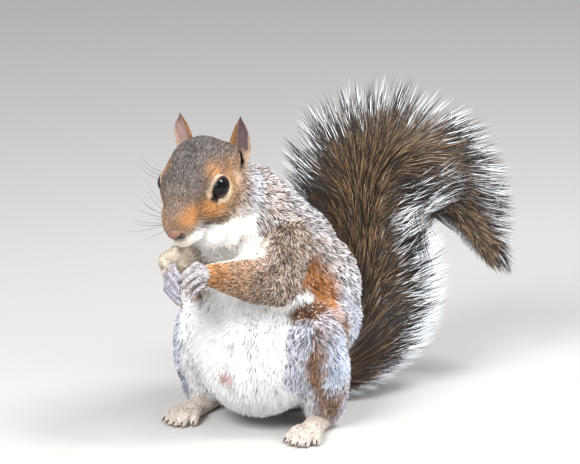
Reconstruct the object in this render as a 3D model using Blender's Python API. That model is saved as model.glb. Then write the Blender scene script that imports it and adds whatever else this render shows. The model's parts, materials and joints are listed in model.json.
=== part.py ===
"""A grey squirrel, life size, sitting up on its hind feet with its hands held together at its mouth.

The animal faces -Y, its left side is +X, and the floor is Z = 0. Each named part of the body is one
closed solid that reaches out to the tips of the coat. Head, trunk, arms and legs are first modelled as
one whole body, then parted with thin gaps. Hands, feet, ears, eyes, nose and the lengths of the tail are
shaped on their own.
Sizes and places below are in millimetres and become metres as each shape is made.
"""

import math

import bmesh
import bpy
from mathutils import Matrix, Vector

MM = 0.001
GAP = 0.3  # free space left between two solids that meet
BODY_VOXEL = 1.7  # grid that melts the overlapping forms of the body into one skin
BODY_FACES = 1900
FINE_VOXEL = 0.5  # grid for hands, feet and ears
HAND_FACES = 330  # for each hand and each foot
EAR_FACES = 200

# --- Head: a frame of its own, so that the whole head can be tilted and turned as one ---
HEAD_CENTRE = Vector((-8.0, -89.1, 156.7))
HEAD_PITCH = math.radians(36)  # how far the muzzle points below the horizon
HEAD_YAW = math.radians(4)
HEAD_ROLL = math.radians(5)
EYE_PLACE = (4.2, -1.2, 16.2)  # forward, up and out from the centre of the head
EYE_RADIUS = 6.2
NOSE_PLACE = (37.6, -6.0, 0.0)
EAR_ROOT = (-20.5, -5.5, 17.0)
EAR_TIP = (-33.0, 15.5, 21.0)
EAR_WIDTH = 13.5
EAR_THICK = 1.9
EAR_CUP = 5.2  # how deep the ear is hollowed at its root
NOSE_RADII = (3.4, 3.3, 4.3)

NECK_BASE = Vector((-4.0, -62.0, 137.0))

# --- Limbs: the joints of each side, the ends of the row of knuckles and of the row of finger tips ---
LEFT = {
    "side": 1,
    "letter": "l",
    "shoulder": Vector((24.0, -46.0, 116.0)),
    "elbow": Vector((28.0, -62.0, 95.0)),
    "wrist": Vector((6.5, -97.0, 104.5)),
    "knuckles": (Vector((3.0, -105.0, 111.5)), Vector((5.0, -101.5, 99.5))),
    "tips": (Vector((-4.0, -110.0, 105.5)), Vector((-1.0, -104.5, 90.5))),
    "hip": Vector((20.0, -2.0, 60.0)),
    "knee": Vector((39.0, -42.0, 64.0)),
    "ankle": Vector((33.0, -19.0, 14.0)),
    "toes": Vector((40.0, -56.0, 3.6)),
}
RIGHT = {
    "side": -1,
    "letter": "r",
    "shoulder": Vector((-24.0, -46.0, 116.0)),
    "elbow": Vector((-25.0, -57.0, 96.0)),
    "wrist": Vector((-16.0, -101.0, 104.5)),
    "knuckles": (Vector((-14.0, -106.0, 109.0)), Vector((-15.0, -110.0, 95.5))),
    "tips": (Vector((-7.5, -109.0, 103.5)), Vector((-8.5, -110.5, 88.5))),
    "hip": Vector((-20.0, -2.0, 60.0)),
    "knee": Vector((-36.0, -38.0, 60.0)),
    "ankle": Vector((-45.0, -25.0, 14.0)),
    "toes": Vector((-39.0, -61.0, 3.6)),
}
LIMBS = (LEFT, RIGHT)

# --- Hands and feet ---
FINGERS = 4
TOE_REACH = (13.5, 17.5, 19.0, 18.0, 13.0)  # how far each toe reaches past the ball of the foot

# --- Regions that divide the body: radii along each limb, across it and over it ---
HEAD_REGION = (36, 24, 30)
FOREARM_REGION = (30, 17, 17)
UPPER_ARM_REGION = (18, 24, 30)
SHANK_REGION = (22, 23, 42)
THIGH_REGION = (40, 25, 31)

# --- Tail ---
TAIL_TURN = math.radians(22)  # how far its flat side is turned to the animal's left
# the outer edge and the inner edge of the flat tail as (to the left, up), how far back, half thickness
TAIL_PLAN = (
    ((1, 38), (20, 3), 22, 15),
    ((6, 39), (36, -1.5), 33, 19),
    ((8, 40), (65, 19), 42, 22),
    ((8, 48), (78, 40), 46, 23),
    ((3, 65), (83, 67), 48, 23),
    ((-3, 88), (80, 94), 47, 22),
    ((-12, 126), (76.5, 100), 45, 22),
    ((1, 166), (73, 103), 45, 22),
    ((47, 185), (70, 104.5), 47, 21),
    ((88, 169), (69.5, 105), 54, 20),
    ((108, 141), (74, 102.5), 62, 18),
    ((116, 113), (84, 91), 70, 14),
    ((118, 86), (97, 74), 75, 9),
    ((117.5, 67), (110, 63), 78, 4),
)
TAIL_SPANS = ((0, 2), (2, 4), (4, 6), (6, 8), (8, 10), (10, 13))  # rows of the plan in each length
TAIL_STEPS = 2
TAIL_FACES = 150


def clear_scene():
    for obj in list(bpy.data.objects):
        bpy.data.objects.remove(obj, do_unlink=True)


def material(name, colour, roughness):
    made = bpy.data.materials.new(name)
    made.use_nodes = True
    shader = made.node_tree.nodes["Principled BSDF"]
    shader.inputs["Base Color"].default_value = (*colour, 1)
    shader.inputs["Roughness"].default_value = roughness
    shader.inputs["Metallic"].default_value = 0.0
    return made


def new_object(name, mesh):
    obj = bpy.data.objects.new(name, mesh)
    bpy.context.scene.collection.objects.link(obj)
    return obj


def object_from(name, build):
    """An object whose mesh is what build(bm) makes."""
    mesh = bpy.data.meshes.new(name)
    bm = bmesh.new()
    build(bm)
    bmesh.ops.recalc_face_normals(bm, faces=bm.faces)
    bm.to_mesh(mesh)
    bm.free()
    return new_object(name, mesh)


def add_ellipsoid(bm, centre, radii, turn=None, segments=24, rings=14):
    """An ellipsoid with its radii along the axes of turn."""
    turn = (turn or Matrix.Identity(3)).to_4x4()
    place = Matrix.Translation(Vector(centre) * MM) @ turn @ Matrix.Diagonal((*(Vector(radii) * MM), 1))
    bmesh.ops.create_uvsphere(bm, u_segments=segments, v_segments=rings, radius=1, matrix=place)


def add_loft(bm, stations, sides=16):
    """A closed tube through stations of (centre, across, over); the last two are each ring's half axes."""
    rings = []
    for centre, across, over in stations:
        ring = []
        for k in range(sides):
            angle = math.tau * k / sides
            point = centre + across * math.cos(angle) + over * math.sin(angle)
            ring.append(bm.verts.new(point * MM))
        rings.append(ring)
    for low, high in zip(rings, rings[1:]):
        for k in range(sides):
            n = (k + 1) % sides
            bm.faces.new((low[k], low[n], high[n], high[k]))
    bm.faces.new(list(reversed(rings[0])))
    bm.faces.new(rings[-1])


def smooth_path(points, steps):
    """Catmull-Rom points through the given ones, with the same number of steps in each span."""
    ends = [points[0] * 2 - points[1], *points, points[-1] * 2 - points[-2]]
    path = []
    for i in range(len(points) - 1):
        a, b, c, d = ends[i : i + 4]
        for k in range(steps):
            t = k / steps
            bend = (2 * a - 5 * b + 4 * c - d) * t**2
            twist = (3 * b - a - 3 * c + d) * t**3
            path.append(0.5 * (2 * b + (c - a) * t + bend + twist))
    return path + [points[-1]]


def add_limb(bm, joints, radii, steps=5, sides=16, flat=1.0):
    """A round limb through its joints, with a ball at each end. flat squeezes it from side to side."""
    path = smooth_path([Vector(j) for j in joints], steps)
    sizes = smooth_path([Vector((r, 0, 0)) for r in radii], steps)
    side = Vector((1, 0, 0))
    stations = []
    for i, (centre, size) in enumerate(zip(path, sizes)):
        along = (path[min(i + 1, len(path) - 1)] - path[max(i - 1, 0)]).normalized()
        over = along.cross(side).normalized()
        across = over.cross(along).normalized()
        stations.append((centre, across * size.x * flat, over * size.x))
    add_loft(bm, stations, sides)
    for centre, radius in ((joints[0], radii[0]), (joints[-1], radii[-1])):
        add_ellipsoid(bm, centre, (radius * flat, radius, radius), segments=16, rings=10)


# --- The head's own frame ---


def head_axes():
    """Forward, up and left of the head, as the columns of a matrix."""
    forward = Vector((0, -math.cos(HEAD_PITCH), -math.sin(HEAD_PITCH)))
    up = Vector((0, -math.sin(HEAD_PITCH), math.cos(HEAD_PITCH)))
    left = Vector((1, 0, 0))
    axes = Matrix((forward, up, left)).transposed()
    roll = Matrix.Rotation(HEAD_ROLL, 3, forward)
    return Matrix.Rotation(HEAD_YAW, 3, "Z") @ roll @ axes


def in_head(forward, up, left):
    """A place in the body's frame from one in the head's."""
    return HEAD_CENTRE + head_axes() @ Vector((forward, up, left))


def add_head(bm):
    def form(place, radii):
        add_ellipsoid(bm, in_head(*place), radii, head_axes())

    form((-7, 0.0, 0), (20, 16, 18.5))  # braincase
    form((8, 3.0, 0), (18, 11.5, 15.5))  # forehead and bridge
    form((22, -2.0, 0), (15.5, 9.0, 10))  # muzzle
    form((31, -5.0, 0), (8.0, 6.6, 6.8))  # tip of the muzzle
    form((18, -12.0, 0), (14, 6.5, 9.5))  # lower jaw
    form((-3, -15.0, 0), (18, 12, 15))  # throat
    for side in (-1, 1):
        form((3, -8.5, side * 10.5), (17, 12, 10.5))  # cheek
        form((27, -7.0, side * 4.6), (8.5, 6.4, 5.6))  # whisker pad
        form((2, 4.5, side * 12.2), (11, 5.0, 6.4))  # brow over the eye
        form((-17, -1.0, side * 12.5), (8.5, 9, 7.5))  # swelling at the root of the ear


def add_trunk(bm):
    add_ellipsoid(bm, (0, -20, 50), (42, 42, 44))  # hips
    add_ellipsoid(bm, (0, -37, 47), (38, 36, 41))  # belly
    add_ellipsoid(bm, (0, -23, 80), (41, 41, 42))  # waist
    add_ellipsoid(bm, (-1, -34, 108), (34, 37, 36))  # chest
    add_ellipsoid(bm, (-3, -44, 128), (29, 29, 25))  # shoulders
    add_ellipsoid(bm, (0, 6, 33), (29, 25, 35))  # rump
    for side in (-1, 1):
        add_ellipsoid(bm, (16 * side, -11, 78), (31, 34, 35))  # flank
        add_ellipsoid(bm, (10 * side, -22, 102), (28, 32, 28))  # back behind the shoulder
    nape = in_head(-14, -9, 0)
    add_limb(bm, [(-3, -44, 130), (-5, -60, 142), nape], (26, 21, 17))  # neck
    add_ellipsoid(bm, (-5, -76, 128), (19, 16, 22))  # throat ruff


def add_arm(bm, limb):
    shoulder, elbow, wrist = limb["shoulder"], limb["elbow"], limb["wrist"]
    add_limb(bm, [shoulder, shoulder.lerp(elbow, 0.6), elbow], (16, 16, 13.5))
    add_limb(bm, [elbow, elbow.lerp(wrist, 0.45), wrist], (14.0, 12.5, 6.6))


def add_leg(bm, limb):
    hip, knee, ankle = limb["hip"], limb["knee"], limb["ankle"]
    middle = knee.lerp(ankle, 0.5) + Vector((limb["side"] * 2.5, 0, 0))
    add_limb(bm, [hip, hip.lerp(knee, 0.5), knee], (25, 23, 16))
    add_limb(bm, [knee, middle, ankle], (16, 16.5, 13.0))


def melt(obj, voxel, rounds, faces):
    """Joins the overlapping forms of obj into one smooth skin with about this many triangles."""
    remesh = obj.modifiers.new("melt", "REMESH")
    remesh.mode = "VOXEL"
    remesh.voxel_size = voxel * MM
    smooth = obj.modifiers.new("soften", "SMOOTH")
    smooth.factor = 0.5
    smooth.iterations = rounds
    apply_modifiers(obj)
    thin = obj.modifiers.new("thin", "DECIMATE")
    thin.ratio = min(1.0, faces / max(1, sum(len(p.vertices) - 2 for p in obj.data.polygons)))
    apply_modifiers(obj)


def apply_modifiers(obj):
    """Puts the evaluated mesh in place of the object's own, and drops its modifiers."""
    bpy.context.view_layer.update()
    graph = bpy.context.evaluated_depsgraph_get()
    made = bpy.data.meshes.new_from_object(obj.evaluated_get(graph))
    obj.modifiers.clear()
    obj.data = made


def boolean(obj, cutter, operation):
    """Changes obj by the cutter at once, with Blender's exact solver."""
    step = obj.modifiers.new("cut", "BOOLEAN")
    step.operation = operation
    step.solver = "EXACT"
    step.object = cutter
    apply_modifiers(obj)


def grown(obj, distance):
    """A copy of obj whose surface stands out by distance: a cutter that leaves a gap."""
    mesh = obj.data.copy()
    bm = bmesh.new()
    bm.from_mesh(mesh)
    bm.normal_update()
    for vert in bm.verts:
        vert.co += vert.normal * distance * MM * min(1.5, max(1.0, vert.calc_shell_factor()))
    bm.to_mesh(mesh)
    bm.free()
    return new_object("grown_" + obj.name, mesh)


def keep_largest(obj):
    """Drops the crumbs that a cut can leave beside the main body of obj."""
    bm = bmesh.new()
    bm.from_mesh(obj.data)
    left, groups = set(bm.verts), []
    while left:
        stack, group = [left.pop()], []
        while stack:
            vert = stack.pop()
            group.append(vert)
            for edge in vert.link_edges:
                other = edge.other_vert(vert)
                if other in left:
                    left.discard(other)
                    stack.append(other)
        groups.append(group)
    groups.sort(key=len)
    bmesh.ops.delete(bm, geom=[v for g in groups[:-1] for v in g], context="VERTS")
    bm.to_mesh(obj.data)
    bm.free()


def part_off(whole, name, regions):
    """Takes the part of whole that lies in the region out into an object of its own, with a gap all round."""
    piece = new_object(name, whole.data.copy())
    inside = object_from("region", lambda bm: regions(bm, 0.0))
    outside = object_from("region_gap", lambda bm: regions(bm, GAP))
    boolean(piece, inside, "INTERSECT")
    boolean(whole, outside, "DIFFERENCE")
    keep_largest(piece)
    keep_largest(whole)
    for cutter in (inside, outside):
        bpy.data.objects.remove(cutter, do_unlink=True)
    return piece


def ellipsoid_region(centre, radii, turn=None):
    def build(bm, grow):
        add_ellipsoid(bm, centre, [r + grow for r in radii], turn, segments=14, rings=8)

    return build


def half_space(point, normal, size=90.0):
    """A large box whose near face passes through point, on the side that normal points to."""

    def build(bm, grow):
        normal_unit = Vector(normal).normalized()
        turn = normal_unit.to_track_quat("Z", "Y").to_matrix().to_4x4()
        centre = Vector(point) + normal_unit * (size / 2 - grow)
        place = Matrix.Translation(centre * MM) @ turn @ Matrix.Diagonal((size * MM, size * MM, size * MM, 1))
        bmesh.ops.create_cube(bm, size=1, matrix=place)

    return build


# --- Hands, feet, ears, eyes and nose ---


def add_digit(bm, root, knuckle, tip, thick, claw):
    """One finger or toe that bends at its knuckle, with a claw that thins to a point."""
    add_limb(bm, [root, knuckle, tip], (thick * 1.15, thick, thick * 0.9), steps=3, sides=8)
    end = tip + (tip - knuckle).normalized() * claw + Vector((0, 0, -0.35 * claw))
    middle = tip.lerp(end, 0.5) + Vector((0, 0, 0.3))
    add_limb(bm, [tip, middle, end], (thick * 0.7, thick * 0.55, 0.45), 2, 6)


def add_hand(bm, limb):
    """A cupped hand: a short palm, and long fingers side by side that curl in to the other hand's."""
    wrist, knuckles, tips = limb["wrist"], limb["knuckles"], limb["tips"]
    for k in range(FINGERS):
        t = k / (FINGERS - 1)
        middle = 1 - abs(2 * t - 1)  # the two middle fingers reach further
        knuckle = knuckles[0].lerp(knuckles[1], t) + Vector((0, -2.2 * middle, 0))
        tip = tips[0].lerp(tips[1], t) + Vector((0, -2.0 * middle, 0))
        root = wrist.lerp(knuckle, 0.35)
        add_limb(bm, [root, root.lerp(knuckle, 0.6), knuckle], (3.4, 2.9, 2.4), 2, 8)
        bend = knuckle.lerp(tip, 0.5) + Vector((0, -1.0, 0.4))
        add_limb(bm, [knuckle, bend, tip], (2.3, 1.9, 1.5), 3, 8)
        claw = tip + (tip - bend).normalized() * 1.6 + Vector((0, 1.2, -1.2))
        add_limb(bm, [tip, tip.lerp(claw, 0.5) + Vector((0, -0.4, 0)), claw], (1.1, 0.8, 0.45), 2, 6)


def add_foot(bm, limb):
    """A long hind foot that lies flat, with five toes."""
    side, ankle, toes = limb["side"], limb["ankle"], limb["toes"]
    heel = Vector((ankle.x - side * 2.5, ankle.y + 9.0, 6.0))
    ball = heel.lerp(toes, 0.66)
    ball.z = 5.0
    forward = (toes - heel).normalized()
    outwards = Vector((-forward.y * side, forward.x * side, 0)).normalized() * side
    arch = heel.lerp(ball, 0.5) + Vector((0, 0, 0.6))
    add_limb(bm, [heel, arch, ball], (6.2, 6.0, 5.6), 4, 12, flat=1.15)
    add_limb(bm, [ankle + Vector((0, 2, 4)), ankle + Vector((0, 0, -3))], (9.0, 7.5), 3, 12)
    for k, reach in enumerate(TOE_REACH):
        spread = (k - 2) * 3.5
        root = ball + outwards * spread * 0.75
        tip = ball + outwards * spread * 1.25 + forward * reach
        tip.z = 2.6
        knuckle = root.lerp(tip, 0.5) + Vector((0, 0, 1.6))
        add_digit(bm, root, knuckle, tip, 2.2, 4.2)


def trim(obj, point, normal):
    """Takes away what lies beyond the plane through point, on the side that normal points to."""
    beyond = object_from("beyond", lambda bm: half_space(point, normal, 400)(bm, 0.0))
    boolean(obj, beyond, "DIFFERENCE")
    bpy.data.objects.remove(beyond, do_unlink=True)
    keep_largest(obj)


def flatten_below(obj):
    """Cuts obj off at the floor, so that it rests on a small flat."""
    trim(obj, (0, 0, 0), (0, 0, -1))


def add_ear(bm, side):
    """A cupped leaf on the head: wide at its root, round at its tip, open forwards and outwards."""
    root, tip = (in_head(p[0], p[1], side * p[2]) for p in (EAR_ROOT, EAR_TIP))
    up = (tip - root).normalized()
    axes = head_axes()
    facing = (axes @ Vector((0.88, 0.0, side * 0.48))).normalized()
    facing = (facing - up * facing.dot(up)).normalized()
    across = up.cross(facing)
    base = root - up * 6.0
    length = (tip - base).length
    rows, columns = 9, 8
    sheets = ([], [])
    for i in range(rows + 1):
        t = i / rows
        half = EAR_WIDTH / 2 * math.sqrt(max(0.0, 1 - t**2.6)) * (0.86 + 0.3 * t) + 0.35
        cup = EAR_CUP * (1 - 0.62 * t)
        for s, sheet in enumerate(sheets):
            row = []
            for j in range(columns + 1):
                w = 2 * j / columns - 1
                bow = cup * (w * w - 0.45) * min(1.0, half / 4)
                skin = (s - 0.5) * EAR_THICK * (1 - 0.35 * abs(w)) * (1 - 0.3 * t)
                centre = base + up * (length * t - 0.9 * t * abs(w)) + across * half * w
                row.append(bm.verts.new((centre + facing * (bow + skin)) * MM))
            sheet.append(row)
    for s, sheet in enumerate(sheets):
        for low, high in zip(sheet, sheet[1:]):
            for j in range(columns):
                quad = (low[j], low[j + 1], high[j + 1], high[j])
                bm.faces.new(quad if s else tuple(reversed(quad)))
    front, back = sheets[1], sheets[0]
    rim = [(front[0], back[0]), (front[-1], back[-1])]
    rim += [([row[j] for row in front], [row[j] for row in back]) for j in (0, columns)]
    for ahead, behind in rim:
        for j in range(len(ahead) - 1):
            bm.faces.new((ahead[j], ahead[j + 1], behind[j + 1], behind[j]))


def add_nose(bm):
    """The bare tip of the nose, a low rounded pad."""
    add_ellipsoid(bm, in_head(*NOSE_PLACE), NOSE_RADII, head_axes(), 12, 6)


# --- Tail ---


def tail_stations():
    """(centre, across, over) of the coat's outline along the tail: up behind the back, over and down."""
    side = Vector((math.cos(TAIL_TURN), math.sin(TAIL_TURN), 0))
    away = Vector((-side.y, side.x, 0))
    stations = []
    for outer, inner, depth, thick in TAIL_PLAN:
        outer, inner = (side * u + away * depth + Vector((0, 0, z)) for u, z in (outer, inner))
        stations.append(((outer + inner) / 2, (inner - outer) / 2, away * thick))
    return stations


def fine_stations(stations, steps):
    """More stations between the given ones, on smooth curves."""
    columns = [smooth_path([s[k] for s in stations], steps) for k in range(3)]
    return list(zip(*columns))


def build_tail():
    """The tail's lengths: lofts that overlap a little, then trimmed flat with a gap between them."""
    fine = fine_stations(tail_stations(), TAIL_STEPS)
    lengths = []
    for n, (first, last) in enumerate(TAIL_SPANS, 1):
        start = max(first * TAIL_STEPS - 1, 0)
        span = fine[start : last * TAIL_STEPS + 2]
        length = object_from(f"tail_{n}", lambda bm, span=span: add_loft(bm, span, 18))
        melt(length, BODY_VOXEL, 2, TAIL_FACES)
        if lengths:
            centre, across, over = fine[first * TAIL_STEPS]
            onward = across.cross(over).normalized()
            onward *= math.copysign(1, onward.dot(fine[first * TAIL_STEPS + 1][0] - centre))
            trim(lengths[-1], centre - onward * GAP / 2, onward)
            trim(length, centre + onward * GAP / 2, -onward)
        lengths.append(length)
    return lengths


# --- Assembly ---


def build_body():
    """Head, trunk, arms and legs as one closed skin."""

    def forms(bm):
        add_trunk(bm)
        add_head(bm)
        for limb in LIMBS:
            add_arm(bm, limb)
            add_leg(bm, limb)

    whole = object_from("whole", forms)
    melt(whole, BODY_VOXEL, 7, BODY_FACES)
    flatten_below(whole)
    return whole


def divide_body(whole):
    """Parts the whole body into its named pieces, from the head down; what is left is the abdomen."""
    parts = {}

    def take(name, region):
        parts[name] = part_off(whole, name, region)

    take("head", ellipsoid_region(in_head(6, -1, 0), HEAD_REGION, head_axes()))
    for limb in LIMBS:
        side, letter = limb["side"], limb["letter"]
        shoulder, elbow, wrist = limb["shoulder"], limb["elbow"], limb["wrist"]
        hip, knee, ankle = limb["hip"], limb["knee"], limb["ankle"]
        turn = (wrist - elbow).to_track_quat("X", "Z").to_matrix()
        take("forearm_" + letter, ellipsoid_region(elbow.lerp(wrist, 0.62), FOREARM_REGION, turn))
        middle = shoulder.lerp(elbow, 0.62) + Vector((side * 6, 0, 0))
        take("upper_arm_" + letter, ellipsoid_region(middle, UPPER_ARM_REGION))
        turn = (ankle - knee).to_track_quat("Z", "Y").to_matrix()
        middle = knee.lerp(ankle, 0.66) + Vector((side * 2, 0, 0))
        take("shank_" + letter, ellipsoid_region(middle, SHANK_REGION, turn))
        turn = (knee - hip).to_track_quat("X", "Z").to_matrix()
        middle = hip.lerp(knee, 0.42) + Vector((side * 13, 0, -2))
        take("thigh_" + letter, ellipsoid_region(middle, THIGH_REGION, turn))
    take("neck", half_space(NECK_BASE, (0, -0.8, 0.6), 70))
    take("chest", half_space((0, -30, 92), (0, -0.2, 1), 110))
    whole.name = "abdomen"
    parts["abdomen"] = whole
    return parts


def clear_of(obj, whole):
    """Cuts back what obj has inside the whole body, and leaves a gap between them."""
    cutter = grown(whole, GAP)
    boolean(obj, cutter, "DIFFERENCE")
    bpy.data.objects.remove(cutter, do_unlink=True)
    keep_largest(obj)
    return obj


def build_details(whole):
    """Hands, feet, ears, eyes, nose and tail, each fitted against the body, with sockets for the eyes."""
    details = []
    for limb in LIMBS:
        side, letter = limb["side"], limb["letter"]
        hand = object_from("hand_" + letter, lambda bm: add_hand(bm, limb))
        melt(hand, FINE_VOXEL, 2, HAND_FACES)
        foot = object_from("foot_" + letter, lambda bm: add_foot(bm, limb))
        melt(foot, FINE_VOXEL, 3, HAND_FACES)
        ear = object_from("ear_" + letter, lambda bm: add_ear(bm, side))
        melt(ear, FINE_VOXEL, 2, EAR_FACES)
        details += [clear_of(obj, whole) for obj in (hand, foot, ear)]
        flatten_below(foot)
        place = in_head(EYE_PLACE[0], EYE_PLACE[1], side * EYE_PLACE[2])
        radii = (EYE_RADIUS,) * 3
        eye = object_from("eye_" + letter, lambda bm: add_ellipsoid(bm, place, radii, None, 14, 8))
        details.append(eye)
    details.append(clear_of(object_from("nose", add_nose), whole))
    tail = build_tail()
    for length in tail[:2]:
        clear_of(length, whole)
    flatten_below(tail[0])
    for obj in details:
        if obj.name.startswith("eye"):
            socket = grown(obj, GAP)
            boolean(whole, socket, "DIFFERENCE")
            bpy.data.objects.remove(socket, do_unlink=True)
    return {obj.name: obj for obj in details + tail}


def paint(parts):
    coat = material("grizzled_coat", (0.30, 0.23, 0.17), 0.85)
    pale = material("white_coat", (0.80, 0.78, 0.74), 0.85)
    tail = material("tail_coat", (0.24, 0.18, 0.13), 0.85)
    skin = material("bare_skin", (0.42, 0.33, 0.30), 0.6)
    eye = material("eye", (0.01, 0.008, 0.008), 0.1)
    for name, obj in parts.items():
        if name.startswith("eye"):
            chosen = eye
        elif name.startswith(("hand", "foot", "nose", "ear")):
            chosen = skin
        elif name.startswith("tail"):
            chosen = tail
        else:
            chosen = pale if name == "chest" else coat
        obj.data.materials.clear()
        obj.data.materials.append(chosen)
        obj.data.polygons.foreach_set("material_index", [0] * len(obj.data.polygons))
        obj.data.shade_smooth()


def centre_on_floor(parts):
    """Moves everything so that the origin is the middle of the bounding box's base."""
    corners = [v.co for obj in parts.values() for v in obj.data.vertices]
    low = Vector(min(c[k] for c in corners) for k in range(3))
    high = Vector(max(c[k] for c in corners) for k in range(3))
    shift = Matrix.Translation((-(low.x + high.x) / 2, -(low.y + high.y) / 2, -low.z))
    for obj in parts.values():
        obj.data.transform(shift)


def main():
    clear_scene()
    whole = build_body()
    parts = build_details(whole)
    parts.update(divide_body(whole))
    paint(parts)
    centre_on_floor(parts)


main()
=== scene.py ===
"""A still, life-size grey squirrel: skin, coat, eyes, claws and whiskers over the CAD frame.

Shapes are worked out in millimetres and become metres as each mesh is made. Places on the body are given
in the animal's own frame (its left, its back, up), which hangs on the frame's eyes and nose. The coat is
solid mesh: every tuft is a thin closed spindle that rises from the skin and lies along the body.
"""

import copy
import json
import math

import bmesh
import bpy
import numpy as np
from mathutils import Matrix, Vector
from mathutils.bvhtree import BVHTree

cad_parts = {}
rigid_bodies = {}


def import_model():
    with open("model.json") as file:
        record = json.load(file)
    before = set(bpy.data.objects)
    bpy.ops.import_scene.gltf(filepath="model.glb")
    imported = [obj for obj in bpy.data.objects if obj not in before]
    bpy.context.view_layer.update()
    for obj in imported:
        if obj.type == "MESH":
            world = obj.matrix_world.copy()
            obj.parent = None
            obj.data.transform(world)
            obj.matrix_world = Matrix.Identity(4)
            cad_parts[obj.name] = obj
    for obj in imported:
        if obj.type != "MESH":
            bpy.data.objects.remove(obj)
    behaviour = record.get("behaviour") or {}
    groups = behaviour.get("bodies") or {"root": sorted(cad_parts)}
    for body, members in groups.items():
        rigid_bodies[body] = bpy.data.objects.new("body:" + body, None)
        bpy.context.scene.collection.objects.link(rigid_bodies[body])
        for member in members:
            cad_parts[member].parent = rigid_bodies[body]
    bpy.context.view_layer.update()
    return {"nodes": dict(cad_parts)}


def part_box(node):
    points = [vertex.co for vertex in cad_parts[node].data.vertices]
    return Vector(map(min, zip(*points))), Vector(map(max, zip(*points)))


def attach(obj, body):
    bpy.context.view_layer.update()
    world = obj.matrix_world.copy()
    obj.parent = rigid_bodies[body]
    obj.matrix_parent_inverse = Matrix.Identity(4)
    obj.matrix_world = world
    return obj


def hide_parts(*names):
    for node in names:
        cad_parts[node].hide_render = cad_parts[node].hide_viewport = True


for left_over in list(bpy.data.objects):
    bpy.data.objects.remove(left_over, do_unlink=True)
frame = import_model()
MM = 0.001
rng = np.random.default_rng(7)

# --- The animal's own frame, hung on the frame's eyes and nose ---


def unit(v):
    """Each row of v at length 1."""
    return v / np.maximum(np.linalg.norm(v, axis=-1, keepdims=True), 1e-9)


def middle(node):
    low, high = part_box(node)
    return np.array((low + high) / 2) / MM


HEAD_PLACE = np.array([-8.0, -89.1, 156.7])  # the head's centre in the animal's frame
EYE_IN_HEAD = np.array([4.2, -1.2])  # forward and up from the head's centre
NOSE_IN_HEAD = np.array([37.6, -6.0])

eyes_middle = (middle("eye_l") + middle("eye_r")) / 2
LEFT = unit(middle("eye_l") - middle("eye_r"))
to_nose = middle("nose") - eyes_middle
to_nose = unit(to_nose - LEFT * to_nose.dot(LEFT))
nose_dip = math.atan2(*(NOSE_IN_HEAD - EYE_IN_HEAD)[::-1])
nose_up = np.cross(to_nose, LEFT)
FORWARD = to_nose * math.cos(nose_dip) - nose_up * math.sin(nose_dip)
UP = to_nose * math.sin(nose_dip) + nose_up * math.cos(nose_dip)
HEAD = eyes_middle - FORWARD * EYE_IN_HEAD[0] - UP * EYE_IN_HEAD[1]
HEAD_AXES = np.stack([FORWARD, UP, LEFT])
ORIGIN = HEAD - HEAD_PLACE
EYE_RADIUS = (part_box("eye_l")[1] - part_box("eye_l")[0]).z / 2 / MM
EYES = {1: middle("eye_l"), -1: middle("eye_r")}


def at(*place):
    """A place in the row frame from one in the animal's."""
    return ORIGIN + np.array(place, float)


def in_head(forward, up, left):
    return HEAD + FORWARD * forward + UP * up + LEFT * left


def head_places(points):
    """Forward, up and left of the head's centre for each point."""
    return (points - HEAD) @ HEAD_AXES.T


SHOULDER, ELBOW, WRIST, HIP, KNEE, ANKLE, TOES = range(7)
JOINTS = {
    1: [at(24, -46, 116), at(28, -62, 95), at(6.5, -97, 104.5), at(20, -2, 60), at(39, -42, 64),
        at(33, -19, 14), at(40, -56, 3.6)],
    -1: [at(-24, -46, 116), at(-25, -57, 96), at(-16, -101, 104.5), at(-20, -2, 60), at(-36, -38, 60),
         at(-45, -25, 14), at(-39, -61, 3.6)],
}
KNUCKLES = {1: (at(3, -105, 111), at(5.5, -101.5, 100)), -1: (at(-12, -106, 109.5), at(-13, -110, 96.5))}
FINGER_TIPS = {
    1: (at(-4, -109.5, 104), at(0, -104.5, 92.5)),
    -1: (at(-5.5, -109, 103.5), at(-5.5, -110, 89.5)),
}
SIDES = {1: "l", -1: "r"}

# --- Small tools for shapes and fields ---


def lerp(a, b, t):
    return a + (b - a) * t


def part(whole, mask):
    """A copy of an object that holds arrays, with only the entries that the mask keeps."""
    made = copy.copy(whole)
    for name, value in vars(whole).items():
        setattr(made, name, value[mask])
    return made


def step(low, high, x):
    """0 below low, 1 above high, smooth between."""
    t = np.clip((x - low) / (high - low), 0, 1)
    return t * t * (3 - 2 * t)


def soft(points, centre, radii):
    """A soft spot: 1 at the centre, fading out past the radii."""
    away = (points - centre) / np.array(radii, float)
    return np.exp(-(away**2).sum(-1))


def from_line(points, start, end):
    """Distance of each point from the line between start and end."""
    along = np.clip((points - start) @ (end - start) / ((end - start) @ (end - start)), 0, 1)
    return np.linalg.norm(points - start - along[:, None] * (end - start), axis=1)


def ripple(points, wavelength, seed, channels=1):
    """Smooth noise between about -1 and 1 at each point."""
    source = np.random.default_rng(seed)
    total = np.zeros((len(points), channels))
    for _ in range(9):
        wave = unit(source.normal(size=3)) * math.tau / (wavelength * source.uniform(0.7, 1.5))
        phase = source.uniform(0, math.tau, channels)
        total += np.sin((points @ wave)[:, None] + phase)
    total /= 3
    return total[:, 0] if channels == 1 else total


def curve(points, count):
    """This many points on a smooth curve through the given ones."""
    points = np.array(points, float)
    ends = np.vstack([2 * points[0] - points[1], points, 2 * points[-1] - points[-2]])
    place = np.linspace(0, len(points) - 1, count)
    i = np.minimum(place.astype(int), len(points) - 2)
    t = (place - i)[:, None]
    a, b, c, d = (ends[i + k] for k in range(4))
    bend = (2 * a - 5 * b + 4 * c - d) * t**2 + (3 * b - a - 3 * c + d) * t**3
    return 0.5 * (2 * b + (c - a) * t + bend)


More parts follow.
